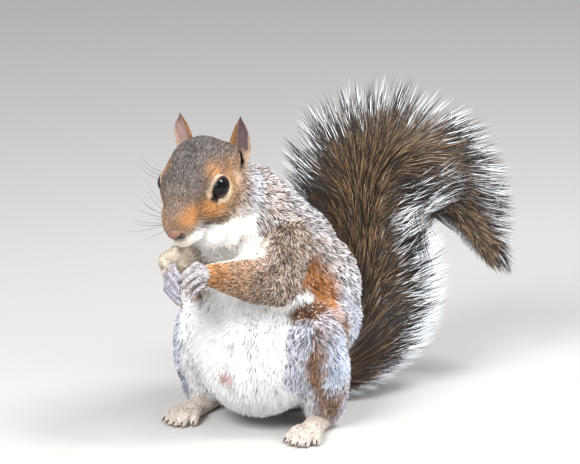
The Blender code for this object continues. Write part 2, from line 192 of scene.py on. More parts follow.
def tube(path, radii, sides=12, flat=1.0):
    """(points, faces) of a closed round tube along a path, with rounded ends."""
    path = np.array(path, float)
    radii = np.array(radii, float)
    along = unit(np.gradient(path, axis=0))
    side = unit(np.cross(along, along + [0.31, 0.17, 0.93]))
    over = np.cross(side, along)
    path = np.vstack([path[0] - along[0] * radii[0] * 0.6, path, path[-1] + along[-1] * radii[-1] * 0.6])
    radii = np.concatenate([[radii[0] * 0.6], radii, [radii[-1] * 0.6]])
    side, over = (np.vstack([v[:1], v, v[-1:]]) for v in (side, over))
    turn = np.linspace(0, math.tau, sides, endpoint=False)
    cos, sin = (f(turn)[None, :, None] for f in (np.cos, np.sin))
    ring = cos * side[:, None] * flat + sin * over[:, None]
    points = (path[:, None] + ring * radii[:, None, None]).reshape(-1, 3)
    faces = []
    for k in range(len(path) - 1):
        for j in range(sides):
            n = (j + 1) % sides
            faces.append((k * sides + j, k * sides + n, (k + 1) * sides + n, (k + 1) * sides + j))
    faces.append(tuple(range(sides))[::-1])
    faces.append(tuple((len(path) - 1) * sides + j for j in range(sides)))
    return points, faces


def limb(points, radii, sides=14, steps=5, flat=1.0):
    """A tube on a smooth curve through a few points, with smoothly changing radii."""
    count = (len(points) - 1) * steps + 1
    sizes = curve([[r, 0, 0] for r in radii], count)[:, 0]
    return tube(curve(points, count), sizes, sides, flat)


def ball(centre, radii, axes=np.eye(3), rings=16, segments=24):
    """(points, faces) of an ellipsoid whose radii lie along the rows of axes."""
    theta = np.linspace(0, math.pi, rings + 1)[1:-1]
    phi = np.linspace(0, math.tau, segments, endpoint=False)
    ways = (np.sin(theta), np.cos(phi)), (np.sin(theta), np.sin(phi)), (np.cos(theta), np.ones(segments))
    grid = np.stack([np.outer(a, b) for a, b in ways], -1).reshape(-1, 3)
    points = np.vstack([grid, [[0, 0, 1]], [[0, 0, -1]]]) * radii @ np.array(axes) + centre
    top, bottom = len(points) - 2, len(points) - 1
    last = (rings - 2) * segments
    faces = []
    for j in range(segments):
        n = (j + 1) % segments
        faces.append((top, j, n))
        faces.append((bottom, last + n, last + j))
        for k in range(0, last, segments):
            faces.append((k + j, k + segments + j, k + segments + n, k + n))
    return points, faces


def mesh_object(name, points, faces, made_of=None):
    """A mesh object from millimetre points; faces is a list of tuples or an array."""
    mesh = bpy.data.meshes.new(name)
    if isinstance(faces, np.ndarray):
        sides = faces.shape[1]
        mesh.vertices.add(len(points))
        mesh.vertices.foreach_set("co", (points * MM).astype(np.float32).ravel())
        mesh.loops.add(faces.size)
        mesh.loops.foreach_set("vertex_index", faces.astype(np.int32).ravel())
        mesh.polygons.add(len(faces))
        mesh.polygons.foreach_set("loop_start", np.arange(0, faces.size, sides, dtype=np.int32))
        mesh.update(calc_edges=True)
    else:
        mesh.from_pydata((points * MM).tolist(), [], faces)
    mesh.polygons.foreach_set("use_smooth", np.ones(len(mesh.polygons), bool))
    if made_of:
        mesh.materials.append(made_of)
    obj = bpy.data.objects.new(name, mesh)
    bpy.context.scene.collection.objects.link(obj)
    return obj


def joined(shapes):
    """Several (points, faces) as one."""
    points, faces, start = [], [], 0
    for p, f in shapes:
        points.append(p)
        faces += [tuple(start + i for i in face) for face in f]
        start += len(p)
    return np.vstack(points), faces


def applied(obj):
    """The object's mesh with its modifiers applied. The object itself goes."""
    made = bpy.data.meshes.new_from_object(obj.evaluated_get(bpy.context.evaluated_depsgraph_get()))
    bpy.data.objects.remove(obj, do_unlink=True)
    return made


def melted(name, shapes, voxel, rounds):
    """Overlapping closed shapes as one smooth skin."""
    obj = mesh_object(name, *joined(shapes))
    bm = bmesh.new()
    bm.from_mesh(obj.data)
    bmesh.ops.recalc_face_normals(bm, faces=bm.faces)
    bm.to_mesh(obj.data)
    bm.free()
    melt = obj.modifiers.new("melt", "REMESH")
    melt.mode = "VOXEL"
    melt.voxel_size = voxel * MM
    relax = obj.modifiers.new("relax", "SMOOTH")
    relax.factor = 0.5
    relax.iterations = rounds
    return applied(obj)


def cad_shape(node, grow=0.25):
    """(points, faces) of a CAD node, a little grown so that it melts into its neighbours."""
    bm = bmesh.new()
    bm.from_mesh(frame["nodes"][node].data)
    bmesh.ops.remove_doubles(bm, verts=bm.verts, dist=0.01 * MM)
    bm.normal_update()
    points = np.array([v.co + v.normal * grow * MM for v in bm.verts]) / MM
    faces = [tuple(v.index for v in f.verts) for f in bm.faces]
    bm.free()
    return points, faces


def face_normals(corners):
    """Each triangle's normal, as long as twice its area."""
    return np.cross(corners[:, 1] - corners[:, 0], corners[:, 2] - corners[:, 0])


class Surface:
    """A triangle mesh as arrays in millimetres, with fields on its points."""

    def __init__(self, mesh):
        self.points = np.empty(len(mesh.vertices) * 3, np.float32)
        mesh.vertices.foreach_get("co", self.points)
        self.points = self.points.reshape(-1, 3).astype(float) / MM
        mesh.calc_loop_triangles()
        self.faces = np.empty(len(mesh.loop_triangles) * 3, np.int32)
        mesh.loop_triangles.foreach_get("vertices", self.faces)
        self.faces = self.faces.reshape(-1, 3)
        pairs = np.sort(self.faces[:, [0, 1, 1, 2, 2, 0]].reshape(-1, 2), axis=1)
        self.edges = np.unique(pairs, axis=0)
        bpy.data.meshes.remove(mesh)

    def smooth(self, field, rounds):
        """The field averaged over neighbouring points."""
        count = len(self.points)
        a, b = self.edges.T
        field = field.reshape(count, -1).astype(float)
        share = np.bincount(self.edges.ravel(), minlength=count)[:, None]
        for _ in range(rounds):
            total = np.stack([np.bincount(a, f[b], count) + np.bincount(b, f[a], count) for f in field.T], -1)
            field = 0.5 * field + 0.5 * total / np.maximum(share, 1)
        return field

    def normals(self):
        count = len(self.points)
        face = face_normals(self.points[self.faces])
        total = [sum(np.bincount(self.faces[:, k], f, count) for k in range(3)) for f in face.T]
        return unit(np.stack(total, -1))


# --- Coat: for each part of the body its depth over the skin, and the length and width of its tufts ---

COAT = {
    "head": (1.7, 2.7, 0.31),
    "nose": (0.15, 1.0, 0.25),
    "neck": (4.5, 6.0, 0.34),
    "chest": (5.5, 7.2, 0.38),
    "abdomen": (6.0, 7.8, 0.41),
    "upper_arm": (4.0, 5.6, 0.33),
    "forearm": (2.4, 4.4, 0.32),
    "thigh": (5.5, 6.8, 0.38),
    "shank": (4.0, 6.2, 0.36),
    "hand": (0.4, 2.2, 0.3),
    "foot": (0.45, 2.8, 0.34),
    "ear": (0.25, 1.9, 0.26),
}


def lie_of(kind, side, points):
    """Which way the coat lies on a part of the body, before it is laid along the skin."""
    joints = JOINTS[side]
    ways = {
        "head": -FORWARD - UP * 0.15,
        "nose": -FORWARD,
        "neck": np.array([0, 0.6, -0.8]),
        "chest": np.array([0, 0.45, -1.0]),
        "abdomen": np.array([0, 0.12, -1.0]),
        "upper_arm": joints[ELBOW] - joints[SHOULDER] + [0, 4, -10],
        "forearm": joints[WRIST] - joints[ELBOW],
        "thigh": np.array([0, 0.35, -1.0]),
        "shank": np.array([0, -0.1, -1.0]),
        "hand": FINGER_TIPS[side][0] - joints[WRIST],
        "foot": joints[TOES] - joints[ANKLE] + [0, 0, 8],
        "ear": -FORWARD * 0.6 + UP,
    }
    return np.broadcast_to(unit(ways[kind]), points.shape)


def node_kind(node):
    """(kind, side) of a CAD node: 'thigh_l' gives ('thigh', 1)."""
    if node.endswith("_l"):
        return node[:-2], 1
    if node.endswith("_r"):
        return node[:-2], -1
    return node, 1


# --- Skin: the flesh of the frame melted into one, laid inside it by the coat's depth ---

FLESH = [node for node in frame["nodes"] if not node.startswith(("eye", "tail"))]
KINDS, NODE_SIDES = (np.array(each) for each in zip(*map(node_kind, FLESH)))
TRUNK = [node for node, kind in zip(FLESH, KINDS) if kind not in ("hand", "foot", "ear", "nose")]
SKIN_VOXEL = 0.62
SKIN_SHARE = 0.16  # share of its faces that the melted body keeps, nearly all of them on the head
LID_OPEN = math.radians(65)  # half the angle that the lids leave open, seen from the eye's middle
MOUTH_FORMS = (((30.5, -14.6, 0.3), (6.3, 6.0, 6.8)), ((23.5, -18, 0), (7.5, 6.5, 8.0)))  # chin and jaw
MOUTH_LINE = ((36.2, -10.6, 0), (33, -11.2, 2.6), (27, -12, 6), (19, -11.2, 8.6))  # forward, up and out
WRIST_FUR = (((-20, -99.5, 109.5), 5.8), ((-18, -93.5, 111), 6.2), ((-15.5, -87.5, 111), 6.0))  # right arm's


def gaze(side):
    return unit(FORWARD * 0.34 + UP * 0.05 + LEFT * side * 0.93)


def lid_axes(side):
    """The gaze, and across it the ways to the front corner of the eye and over it."""
    axis = gaze(side)
    corner = FORWARD * 0.97 - UP * 0.24
    corner = unit(corner - axis * axis.dot(corner))
    return axis, corner, np.cross(axis, corner)


def lid_opening(turn):
    """How far the lids open at an angle round the gaze, counted from the eye's pointed front corner."""
    pointed = np.maximum(0, np.cos(turn)) ** 5
    behind = np.maximum(0, -np.cos(turn)) ** 6
    return LID_OPEN + 0.34 * pointed + 0.04 * behind - 0.08 * np.sin(turn) ** 2


def past_lid(points, side):
    """How far each point lies outside the opening of the lids, as an angle, and its distance from the eye."""
    away = points - EYES[side]
    axis, corner, over = lid_axes(side)
    turn = np.arctan2(away @ over, away @ corner)
    angle = np.arccos(np.clip(unit(away) @ axis, -1, 1))
    return angle - lid_opening(turn), np.linalg.norm(away, axis=1)


def thin_out(mesh):
    """The melted body with fewer faces away from the head."""
    obj = bpy.data.objects.new("body", mesh)
    bpy.context.scene.collection.objects.link(obj)
    points = np.array([v.co for v in mesh.vertices]) / MM
    away = np.linalg.norm(points - in_head(12, 0, 0), axis=1)
    group = obj.vertex_groups.new(name="coarse")
    group.add(np.flatnonzero(away > 36).tolist(), 1.0, "REPLACE")
    fewer = obj.modifiers.new("fewer", "DECIMATE")
    fewer.ratio = SKIN_SHARE
    fewer.vertex_group = group.name
    fewer.vertex_group_factor = 10
    return applied(obj)


def nodes_near(points, nodes):
    """For each point, which of the nodes has the nearest face."""
    corners, faces, owner = [], [], []
    for k, node in enumerate(nodes):
        mesh = frame["nodes"][node].data
        start = len(corners)
        corners += [v.co / MM for v in mesh.vertices]
        faces += [[start + i for i in f.vertices] for f in mesh.polygons]
        owner += [k] * len(mesh.polygons)
    tree = BVHTree.FromPolygons(corners, faces)
    return np.array([owner[tree.find_nearest(p)[2]] for p in points])


def coat_fields(surface, nodes):
    """Depth, length and width of the coat and its lie at each point of a surface."""
    near = nodes_near(surface.points, nodes)
    table = np.zeros((len(surface.points), 6))
    for k, node in enumerate(nodes):
        here = near == k
        kind, side = node_kind(node)
        table[here, :3] = COAT[kind]
        table[here, 3:] = lie_of(kind, side, surface.points[here])
    surface.near = near
    return surface.smooth(table, 14)


def head_fields(points, fields):
    """The shorter coat round the eyes, nose and lips, and the longer one of cheeks and throat."""
    forward, up, left = head_places(points).T
    on_head = 1 - step(30, 40, np.linalg.norm(points - in_head(12, 0, 0), axis=1))
    muzzle = on_head * step(9, 24, forward)
    cheek = on_head * np.exp(-(((forward - 1) / 9) ** 2) - ((up + 8) / 7) ** 2) * step(6, 12, abs(left))
    fields = fields.copy()
    for column, at_muzzle, at_eye, more in ((0, 0.6, 0.35, 0.8), (1, 1.9, 1.5, 2.0), (2, 0.26, 0.24, 0.05)):
        value = lerp(fields[:, column], at_muzzle, muzzle)
        value = value + more * cheek
        for eye in EYES.values():
            close = 1 - step(8.0, 15.5, np.linalg.norm(points - eye, axis=1))
            value = lerp(value, at_eye, close)
        fields[:, column] = value
    return fields


def lid_skin(points):
    """The skin round each eye drawn in to the ball as lids, and let in behind it where the lids are open."""
    points = points.copy()
    for side, eye in EYES.items():
        past, far = past_lid(points, side)
        near = far < EYE_RADIUS + 9
        lid = EYE_RADIUS + 0.5 - 0.3 * step(0.2, 0.0, past)
        radius = lerp(lid, np.maximum(far, EYE_RADIUS + 0.45), step(0.10, 0.75, past))
        radius = np.where(past < 0, EYE_RADIUS - 1.6, radius)
        points[near] = (eye + unit(points - eye) * radius[:, None])[near]
    return points


def crease(points, normals, line, width, depth):
    """Points near a line pushed in along their normals."""
    path = curve(line, 24)
    away = np.linalg.norm(points[:, None] - path[None], axis=2).min(axis=1)
    return points - normals * (depth * np.exp(-((away / width) ** 2)))[:, None]


def body_skin():
    """The skin of head, trunk, arms and legs, with lids and mouth."""
    shapes = [cad_shape(node) for node in TRUNK]
    shapes += [ball(eye, [EYE_RADIUS - 0.5] * 3) for eye in EYES.values()]
    shapes += [ball(in_head(*place), radii, HEAD_AXES) for place, radii in MOUTH_FORMS]
    shapes += [ball(at(*place), [radius] * 3) for place, radius in WRIST_FUR]
    surface = Surface(thin_out(melted("body", shapes, SKIN_VOXEL, 8)))
    fields = head_fields(surface.points, coat_fields(surface, FLESH))
    surface.fields = surface.smooth(fields, 3)
    surface.points = surface.points - surface.normals() * surface.fields[:, :1]
    surface.points = surface.smooth(surface.points, 2)
    surface.points = lid_skin(surface.points)
    on_head = np.linalg.norm(surface.points - in_head(28, -10, 0), axis=1) < 20
    for side in EYES:
        line = [in_head(forward, up, out * side) for forward, up, out in MOUTH_LINE]
        pressed = crease(surface.points[on_head], surface.normals()[on_head], line, 0.8, 0.7)
        surface.points[on_head] = pressed
    return surface


def finger(side, k):
    """The joints of finger k: root, knuckle, bend and tip."""
    bulge = 1 - abs(2 * k / 3 - 1)
    knuckle = lerp(*KNUCKLES[side], k / 3) + [0, -2.2 * bulge, 0]
    tip = lerp(*FINGER_TIPS[side], k / 3) + [0, -2.0 * bulge, 0]
    root = lerp(JOINTS[side][WRIST], knuckle, 0.35)
    return [root, knuckle, lerp(knuckle, tip, 0.5) + [0, -1.0, 0.4], tip]


def hand_forms(side):
    wrist = JOINTS[side][WRIST]
    back = unit(JOINTS[side][ELBOW] - wrist)
    palm = lerp(wrist, lerp(*KNUCKLES[side], 0.5), 0.55)
    forms = [limb([wrist + back * 12, wrist, palm], (5.2, 4.6, 4.3), 16, 5)]
    for k in range(4):
        root, knuckle, bend, tip = finger(side, k)
        forms.append(limb([root, lerp(root, knuckle, 0.6), knuckle], (3.0, 2.5, 2.0), 12, 4))
        forms.append(limb([knuckle, bend, tip], (2.0, 1.75, 1.55), 12, 5))
        forms.append(ball(knuckle, [2.15] * 3))
        forms.append(ball(tip + [0, 0.3, 0.2], [1.65] * 3))
    thumb = lerp(wrist, KNUCKLES[side][0], 0.55)
    forms.append(limb([thumb, lerp(thumb, FINGER_TIPS[side][0], 0.35) + [0, 0, 3.4]], (2.6, 2.0), 12, 5))
    return forms


TOE_LENGTHS = (13.5, 17.5, 19.0, 18.0, 13.0)


def foot_line(side, heel_height, ball_height):
    """The heel and the ball of a foot."""
    ankle, toes = JOINTS[side][ANKLE], JOINTS[side][TOES]
    heel = np.array([ankle[0] - side * 2.5, ankle[1] + 9.0, heel_height])
    return heel, lerp(heel, toes, 0.66) * [1, 1, 0] + [0, 0, ball_height]


def toe(side, k):
    """The root, knuckle and tip of toe k."""
    heel, foot_ball = foot_line(side, 6.0, 5.0)
    forward = unit(JOINTS[side][TOES] - heel)
    outwards = unit(np.array([-forward[1], forward[0], 0]))
    spread = (k - 2) * 3.5
    root = foot_ball + outwards * spread * 0.75
    tip = foot_ball + outwards * spread * 1.25 + forward * TOE_LENGTHS[k]
    tip[2] = 2.6
    return root, lerp(root, tip, 0.5) + [0, 0, 1.6], tip


def foot_forms(side):
    ankle = JOINTS[side][ANKLE]
    heel, foot_ball = foot_line(side, 5.6, 4.6)
    forms = [limb([heel, lerp(heel, foot_ball, 0.5) + [0, 0, 0.4], foot_ball], (5.4, 5.2, 4.6), 18, 6, 1.2)]
    forms.append(limb([ankle + [0, 2, 8], ankle + [0, 0, -4]], (8.0, 6.4), 16, 4))
    for k in range(5):
        root, knuckle, tip = toe(side, k)
        forms.append(limb([root, knuckle, tip], (2.5, 2.1, 1.8), 12, 6))
        forms.append(ball(tip + [0, 0, -0.3], [2.0, 2.2, 1.8]))
    return forms


def detail_skin(name, forms, voxel, node):
    """A bare part's own finer skin, with its coat's fields."""
    surface = Surface(melted(name, forms, voxel, 3))
    kind, side = node_kind(node)
    surface.near = np.full(len(surface.points), FLESH.index(node))
    surface.fields = np.tile([*COAT[kind], 0, 0, 0], (len(surface.points), 1)).astype(float)
    surface.fields[:, 3:] = lie_of(kind, side, surface.points)
    return surface


EAR_ROOT, EAR_TIP = (-20.5, -5.5, 17.0), (-33.0, 15.5, 21.0)
EAR_INWARD = {1: 0.0, -1: 2.0}  # how far each ear is held in towards the crown
EAR_WIDTH = {1: 11.2, -1: 13.2}
EAR_POINT = {1: 1.8, -1: 2.6}  # a higher power makes a rounder tip
EAR_FACING = {1: (0.88, 0.48), -1: (0.97, 0.12)}  # forward and out: each ear turns on its own


def ear_frame(side):
    """The ear's lower end, its way up, across towards its outer edge, its facing and its length."""
    root, tip = (in_head(p[0], p[1], side * (p[2] - EAR_INWARD[side])) for p in (EAR_ROOT, EAR_TIP))
    up = unit(tip - root)
    facing = FORWARD * EAR_FACING[side][0] + LEFT * side * EAR_FACING[side][1]
    facing = unit(facing - up * facing.dot(up))
    base = root - up * 6
    return base, up, np.cross(up, facing) * side, facing, np.linalg.norm(tip - base) - 0.4


def ear_form(side):
    """A cupped leaf: wide at its root, round at its tip, open forwards and outwards."""
    base, up, across, facing, length = ear_frame(side)
    rows, columns = 40, 28
    t = np.linspace(0, 1, rows + 1)[:, None]
    w = np.linspace(-1, 1, columns + 1)[None]
    leaf = 1 - (np.maximum(0, t - 0.45) / 0.55) ** EAR_POINT[side]
    leaf = np.where(t < 0.45, 0.6 + 0.4 * step(-0.1, 0.45, t), leaf)
    half = EAR_WIDTH[side] / 2 * leaf + 0.25
    bow = 5.2 * (1 - 0.62 * t) * (w * w - 0.45) * np.minimum(1, half / 4)
    bow = bow + 1.3 * np.exp(-(((w + 0.62) / 0.22) ** 2)) * step(0.95, 0.6, t)
    bow = bow - 1.7 * np.exp(-(((t - 0.19) / 0.10) ** 2) - ((w - 0.05) / 0.25) ** 2)
    lip = 0.5 * np.exp(-(((abs(w) - 0.93) / 0.12) ** 2)) + 0.5 * np.exp(-(((w + 0.7) / 0.25) ** 2))
    sheets = []
    for s in (0, 1):
        thick = (s - 0.5) * (1.15 * (1 - 0.4 * abs(w)) * (1 - 0.3 * t) + lip)
        centre = base + up * (length * t - 0.9 * t * abs(w))[..., None] + across * (half * w)[..., None]
        sheets.append((centre + facing * (bow + thick)[..., None]).reshape(-1, 3))
    wide = columns + 1
    count = (rows + 1) * wide
    faces = []
    for i in range(rows):
        for j in range(columns):
            a = i * wide + j
            faces.append((count + a, count + a + 1, count + a + wide + 1, count + a + wide))
            faces.append((a, a + wide, a + wide + 1, a + 1))
    rim = [i * wide for i in range(rows)] + [rows * wide + j for j in range(columns)]
    rim += [i * wide + columns for i in range(rows, 0, -1)] + list(range(columns, 0, -1))
    faces += [(a, b, count + b, count + a) for a, b in zip(rim, rim[1:] + rim[:1])]
    return np.vstack(sheets), faces


NOSE_LEFT = 0.5  # how far left of the head's middle the pad of the nose sits
NOSTRIL = ((38.2, -8.4, 1.2), (37.8, -7.6, 2.8), (36.0, -6.8, 5.0))  # forward, up, out from the pad


def nose_skin():
    """The bare pad of the nose with its wings and the cleft below it."""
    forms = [ball(in_head(34.8, -6.0, NOSE_LEFT), (4.5, 4.5, 5.0), HEAD_AXES)]
    forms += [ball(in_head(34.4, -7.8, NOSE_LEFT + 3.3 * s), (3.0, 2.7, 2.4), HEAD_AXES) for s in EYES]
    surface = detail_skin("nose", forms, 0.27, "nose")
    for s in EYES:
        line = [in_head(forward, up, NOSE_LEFT + out * s) for forward, up, out in NOSTRIL]
        surface.points = crease(surface.points, surface.normals(), line, 0.8, 1.2)
    cleft = [in_head(39, -7.8, NOSE_LEFT), in_head(38, -10.0, NOSE_LEFT), in_head(36.6, -13.0, 0.4)]
    surface.points = crease(surface.points, surface.normals(), cleft, 0.4, 0.5)
    return surface


# --- Tail: its flat plane, the line of its bones and its outline at the hairs' tips ---

TAIL_TURN = math.radians(22)
TAIL_SIDE = np.array([math.cos(TAIL_TURN), math.sin(TAIL_TURN), 0])
TAIL_AWAY = np.array([-math.sin(TAIL_TURN), math.cos(TAIL_TURN), 0])
TAIL_BONES = (
    (13, 13, 12), (20, 16, 26), (26, 32, 40), (34, 60, 47), (33, 100, 47),
    (38, 128, 46), (54, 139, 49), (74, 124, 60), (95, 95, 70), (102, 82, 74),
)  # sideways, up and away in the tail's own plane
TAIL_CORE = (9.0, 9.5, 8.0, 6.0, 5.0, 4.4, 4.0, 3.4, 2.4, 1.6)  # radius at each of them
TAIL_CORE_STEPS = 120


def in_tail(sideways, up, away):
    return ORIGIN + TAIL_SIDE * sideways + TAIL_AWAY * away + np.array([0, 0, up])


def tail_line(count):
    """This many points along the tail's bones, and the skin's radius at each."""
    radii = curve([[r, 0, 0] for r in TAIL_CORE], count)[:, 0]
    return curve([in_tail(*p) for p in TAIL_BONES], count), radii


def tail_skin():
    return Surface(mesh_object("core", *tube(*tail_line(TAIL_CORE_STEPS), 16)).data)


RIM_STEPS, RIM_SIDES = 72, 8


def lid_rims():
    """The dark edge of the lids: a thin roll round each eye, drawn out a little at the corners."""
    forms = []
    for side, eye in EYES.items():
        axis, corner, over = lid_axes(side)
        turn = np.linspace(0, math.tau, RIM_STEPS, endpoint=False)
        spread = (lid_opening(turn) - 0.03)[:, None]
        round_it = corner * np.cos(turn)[:, None] + over * np.sin(turn)[:, None]
        ways = axis * np.cos(spread) + round_it * np.sin(spread)
        path = eye + ways * (EYE_RADIUS + 0.12)
        roll = np.linspace(0, math.tau, RIM_SIDES, endpoint=False)
        flat = np.gradient(np.vstack([path[-1:], path, path[:1]]), axis=0)[1:-1]
        inwards = unit(np.cross(unit(flat), ways))
        cos, sin = (f(roll)[None, :, None] for f in (np.cos, np.sin))
        ring = ways[:, None] * cos * 0.36 + inwards[:, None] * sin * 0.42
        points = (path[:, None] + ring).reshape(-1, 3)
        i, j = np.meshgrid(np.arange(RIM_STEPS), np.arange(RIM_SIDES), indexing="ij")
        ni, nj = (i + 1) % RIM_STEPS, (j + 1) % RIM_SIDES
        quads = np.stack([a * RIM_SIDES + b for a, b in ((i, j), (ni, j), (ni, nj), (i, nj))], -1)
        forms.append((points, quads.reshape(-1, 4).tolist()))
    return forms


skins = {"body": body_skin()}
for side, letter in SIDES.items():
    skins["hand_" + letter] = detail_skin("hand", hand_forms(side), 0.40, "hand_" + letter)
    skins["foot_" + letter] = detail_skin("foot", foot_forms(side), 0.62, "foot_" + letter)
    skins["ear_" + letter] = detail_skin("ear", [ear_form(side)], 0.42, "ear_" + letter)
skins["nose"] = nose_skin()
skins["tail"] = tail_skin()

# --- Markings: colours laid one over another by soft brushes, for the skin and for the coat alike ---

GREY = (0.33, 0.29, 0.265)
CROWN = (0.058, 0.046, 0.040)
TAN = (0.28, 0.175, 0.10)
ORANGE = (0.36, 0.165, 0.05)
RUST = (0.33, 0.13, 0.035)
BUFF = (0.62, 0.49, 0.35)
WHITE = (0.88, 0.87, 0.85)
FROST = (0.52, 0.54, 0.62)
LID = (0.016, 0.011, 0.010)
# inside of the ears: pink, with painted light in the far one and painted shade in the near one
EAR_PINK_LIT_AND_SHADED = {1: (0.095, 0.062, 0.068), -1: (0.30, 0.195, 0.175)}  # light shines through the far one
EAR_DARK = (0.035, 0.02, 0.02)
EAR_TAN = (0.20, 0.095, 0.035)
EAR_CREAM = (0.42, 0.30, 0.22)
NOSE_PINK = (0.19, 0.095, 0.062)
CREAM = (0.60, 0.53, 0.43)
# painted shade: the near-black laid in the nostrils, under the pad of the nose and where the mouth meets it
SHADE_BLACK = (0.02, 0.014, 0.012)
CHEEK_CREAM = (0.42, 0.29, 0.19)
BRIDGE_BROWN = (0.15, 0.105, 0.07)
MUZZLE_BROWN = (0.25, 0.145, 0.09)
WHISKER_BED = (0.10, 0.06, 0.035)
# painted shade: the near-black in the hollow of each ear
EAR_HOLLOW_SHADE = (0.008, 0.005, 0.005)
SHOULDER_FROST = (0.42, 0.43, 0.49)
ARM_BROWN = (0.22, 0.14, 0.085)
ARM_INSIDE = (0.80, 0.75, 0.66)
ELBOW_BROWN = (0.13, 0.055, 0.018)
# painted shade: the same white fur, laid darker on the lower belly because it takes more light than the
# throat
BELLY_SHADED_WHITE = (0.75, 0.755, 0.77)
# partly the frosted hairs, partly painted light: these two laid bluer and brighter, as sky light shows the
# legs' shaded side
LEG_FROST_SKYLIT = (0.60, 0.68, 0.84)
LEG_PALE_SKYLIT = (0.62, 0.70, 0.86)
LEG_LINE = (0.20, 0.095, 0.04)
LEG_WHITE = (0.78, 0.78, 0.79)
SPOT_PINK = (0.50, 0.33, 0.30)
HAND_COAT = (0.42, 0.39, 0.40)
# painted shade: the same fur as the near hand, darker and bluer because the far hand lies in shade
FAR_HAND_COAT_SHADED = (0.31, 0.31, 0.36)
FOOT_COAT = (0.55, 0.48, 0.42)
# partly the hands' own dark skin, partly painted shade: it shows on the fingers' bare sides as dark gaps
# between them
HAND_SKIN_AND_GAP_SHADE = (0.13, 0.10, 0.10)
FINGERTIP = (0.36, 0.26, 0.24)
TAIL_SKIN = (0.10, 0.07, 0.05)
SKIN_SHADE = 0.75  # the skin under the coat is this much darker than the coat's markings


class Paint:
    """Colour and grizzle (how many hairs have a black or a pale tip) at each point."""

    def __init__(self, count):
        self.colour = np.tile(np.array(GREY), (count, 1))
        self.grizzle = np.full(count, 0.85)

    def lay(self, weight, colour, grizzle):
        self.colour = lerp(self.colour, np.array(colour), weight[:, None])
        self.grizzle = lerp(self.grizzle, grizzle, weight)


BELLY_EDGE = (
    (10, 24), (60, 27.5), (78, 38), (84, 35), (91, 26), (98, 20), (112, 17), (134, 12), (152, 4),
)  # half the width of the white at each height
FLANK_SPOTS = (
    ((37, -33, 85), (15, 12, 14), RUST, 2.1),
    ((33, -38, 99), (11, 10, 9), RUST, 1.7),
    ((27, -55, 83), (10, 11, 9), WHITE, 2.3),
    ((37, -44, 76), (9, 9, 5.5), ELBOW_BROWN, 1.8),
)  # behind the elbow: place on the left side, radii, colour and strength


